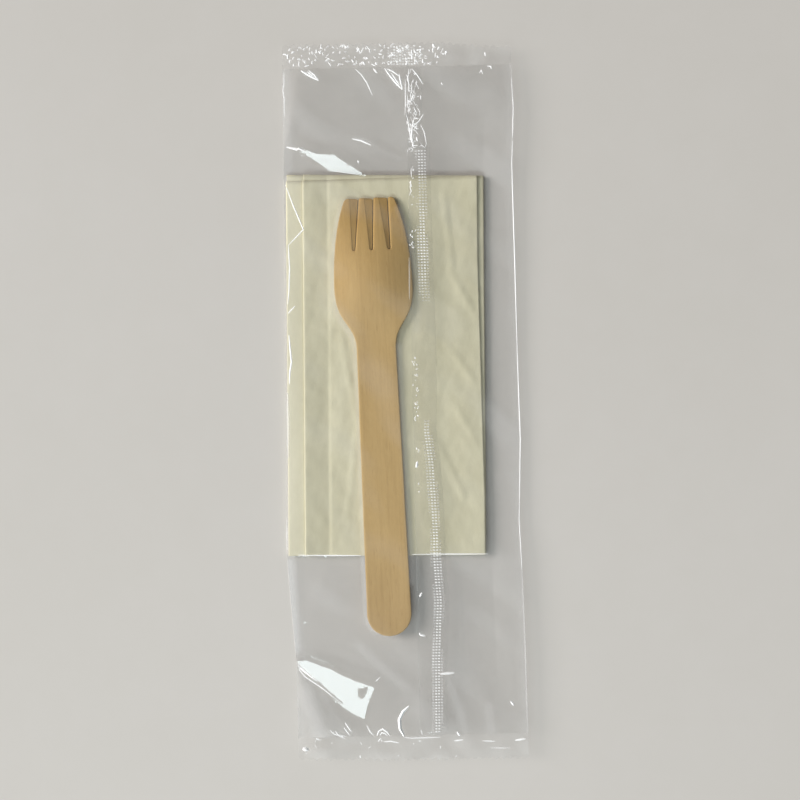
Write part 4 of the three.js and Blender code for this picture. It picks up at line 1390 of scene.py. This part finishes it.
def fold_glints(sheet):
    """Painted highlight lines along the right-hand fold, with a width and a brightness each."""
    rows = np.linspace(-SEAL_LINE, SEAL_LINE, len(sheet))
    for high, low, width, milk_and_painted_light in FOLD_GLINTS:
        y = np.linspace(high, low, round((high - low) / CREASE_STEP))
        x = right_edge(y) - RIGHT_FOLD_ROUND - FOLD_GLINTS_INSET
        yield np.column_stack([x, y, np.interp(y, rows, sheet[:, -1])]), width, milk_and_painted_light


def root_glint_specks(sheet):
    """Small painted glints along the fin's root, with a width and a strength each."""
    draw = np.random.default_rng(107)
    for low, high, count in ROOT_GLINT_SPECKS:
        for y in draw.uniform(low, high, count):
            x = FIN_ROOT_X + ROOT_GLINT_SPECKS_INSET + draw.normal(0, 0.5)
            heading = draw.normal(math.pi / 2, 0.5)
            half = draw.uniform(0.4, 1.1) / 2
            dx, dy = half * math.cos(heading), half * math.sin(heading)
            flat = resampled([(x - dx, y - dy), (x + dx, y + dy)])
            heights = height_on(sheet, flat[:, 0], flat[:, 1]) + FIN_STAND_OFF
            yield np.column_stack([flat, heights]), draw.uniform(0.3, 0.5), draw.uniform(0.3, 0.9)


def seal_lattice(seal, start):
    """A lattice of pressed points on part of the top seal, painted white as glints."""
    rows = np.arange(*LATTICE_UP)
    columns = np.arange(*LATTICE_ACROSS, KNURL_PITCH)
    out, x = (part.ravel() for part in np.meshgrid(rows, columns))
    places = [at_share(part, (x + PACK_HALF_WIDTH) / (2 * PACK_HALF_WIDTH), out) for part in seal]
    milk_and_painted_light = np.random.default_rng(105).uniform(0.0, LATTICE_GLINT, len(x))
    return pressed_points(*places, milk_and_painted_light, start)


def crimp_glints(seals):
    """Short crushed ridges of the end seals, painted white as glints, as lines of points with a width and a
    painted glint strength.
    """
    draw = np.random.default_rng(101)
    for end, count, bold in CRIMP_GLINTS:
        for _ in range(count):
            across = draw.uniform(*CRIMP_GLINTS_ACROSS)
            out = draw.uniform(0.05, 0.95)
            heading = math.radians(draw.choice(CRIMP_HEADINGS) + draw.uniform(-12, 12))
            length = bold * draw.uniform(0.5, 1.9)
            step_x = length * math.cos(heading) / (2 * PACK_HALF_WIDTH)
            step_out = length * math.sin(heading) / (END_LINE - SEAL_LINE)
            shares = np.linspace(-0.5, 0.5, 4)
            a, o = across + shares * step_x, np.clip(out + shares * step_out, 0, 0.98)
            line = np.column_stack([at_share(part, a, o) for part in seals[end]])
            yield line, bold * draw.uniform(0.35, 0.75), draw.uniform(0.3, 0.8)


def film_crease_glints(material, sheet, seals):
    """The pinched creases of the film and the crushed ridges of its end seals, painted white as glints."""
    lines = []
    for crease in CREASES:
        flat = resampled(crease.corners)
        heights = height_on(sheet, flat[:, 0], flat[:, 1]) + crease.lift
        lines.append((np.column_stack([flat, heights]), crease.width, crease.milk_and_painted_light))
    lines += [*crimp_glints(seals), *crumple_glints(sheet), *root_glint_specks(sheet), *fold_glints(sheet)]
    points, faces, haze_and_painted_light = [], [], []
    for line, width, milk_and_painted_light in lines:
        made, sides = ridge(line, width, len(points))
        points += made.tolist()
        faces += sides
        haze_and_painted_light += [milk_and_painted_light] * len(made)
    lattice, sides, white = seal_lattice(seals[1], len(points))
    points = np.concatenate([points, lattice])
    creases = new_piece("film_crease_glints", points, faces + sides, material, "film_wrapper", 20)
    set_points(creases, "haze_and_painted_light", np.concatenate([haze_and_painted_light, white]))
    # They cast no shadow, as the glints they paint are reflections of clear film.
    creases.visible_shadow = False
    return creases


# Table, light and camera

CAMERA_HEIGHT = 650
CAMERA_LEVEL = 3
CAMERA_TURN = math.radians(-1.22)
CAMERA_AIM = (-1.82, 0.4)
VIEW_SPAN = 292.2
SENSOR = 36.0
NEAREST_SEEN = 10
FARTHEST_SEEN = 50000
MOST_FILM_LAYERS = 32
TABLE_SIZE = 14000
TABLE_CELLS = 8
TABLE_LIGHT = (0.578, 0.553, 0.532)
TABLE_DARK = (0.558, 0.533, 0.507)
BRIGHT_WALL = (-0.82, -0.55, 0.16)
ROOM_GLOW = [(0.1, (0.13, 0.13, 0.125)), (0.95, (0.8, 0.79, 0.76))]


def table():
    """The table that the pack lies on."""
    steps = np.linspace(-TABLE_SIZE / 2, TABLE_SIZE / 2, TABLE_CELLS + 1) * MM
    x, y = np.meshgrid(steps, steps)
    mesh = bpy.data.meshes.new("table")
    mesh.from_pydata(as_points(x, y, np.zeros_like(x)).tolist(), [], grid_quads(numbered(x.shape)))
    mesh.materials.append(table_top())
    top = put_in_scene("table", mesh)


def softbox(name, azimuth, elevation, distance, size, watts, colour):
    """A rectangular lamp aimed at the pack. Its heading and height are in degrees, its sizes in metres."""
    lamp = bpy.data.lights.new(name, "AREA")
    lamp.shape = "RECTANGLE"
    lamp.size, lamp.size_y = size
    lamp.energy = watts
    lamp.color = colour
    a, e = math.radians(azimuth), math.radians(elevation)
    towards = Vector((math.cos(e) * math.cos(a), math.cos(e) * math.sin(a), math.sin(e)))
    stand = put_in_scene(name, lamp)
    stand.location = towards * distance
    stand.rotation_euler = (-towards).to_track_quat("-Z", "Y").to_euler()
    return stand


def room_light():
    """A broad window on the left, which the film doesn't mirror, a small one below, and an even room."""
    left_window = softbox(
        "left_window",
        azimuth=170,
        elevation=29,
        distance=9.0,
        size=(4.1, 4.1),
        watts=870.0,
        colour=(1.0, 0.96, 0.925),
    )
    left_window.visible_glossy = False
    softbox(
        "lower_window",
        azimuth=244,
        elevation=52,
        distance=1.5,
        size=(1.1, 0.45),
        watts=9.0,
        colour=(0.85, 0.98, 1.0),
    )
    world = bpy.data.worlds.new("room")
    world.use_nodes = True
    tree = world.node_tree
    lean = tree.nodes.new("ShaderNodeVectorMath")
    lean.operation = "DOT_PRODUCT"
    lean.inputs[1].default_value = BRIGHT_WALL
    tree.links.new(tree.nodes.new("ShaderNodeTexCoord").outputs["Generated"], lean.inputs[0])
    glow = add_ramp(tree, lean.outputs["Value"], ROOM_GLOW)
    tree.links.new(glow, tree.nodes["Background"].inputs["Color"])
    bpy.context.scene.world = world


def camera():
    """A camera straight above the pack."""
    lens = bpy.data.cameras.new("camera")
    lens.sensor_width = SENSOR
    lens.lens = SENSOR * CAMERA_HEIGHT / VIEW_SPAN
    lens.clip_start = NEAREST_SEEN * MM
    lens.clip_end = FARTHEST_SEEN * MM
    stand = put_in_scene("camera", lens)
    x, y = turned(*CAMERA_AIM, (0, 0), CAMERA_TURN)
    stand.location = (x * MM, y * MM, (CAMERA_HEIGHT + CAMERA_LEVEL) * MM)
    stand.rotation_euler = (0, 0, CAMERA_TURN)
    bpy.context.scene.camera = stand


camera()
room_light()
table()
film_material = clear_film()
film, front_sheet, end_seals = film_pack(film_material)
fin = film_fin(film_material, front_sheet)
creases = film_crease_glints(film_material, front_sheet, end_seals)
napkin = paper_napkin(tissue_paper())
wooden_fork(birch_wood())

bpy.context.scene.cycles.transparent_max_bounces = MOST_FILM_LAYERS
bpy.context.scene.view_settings.view_transform = "Standard"
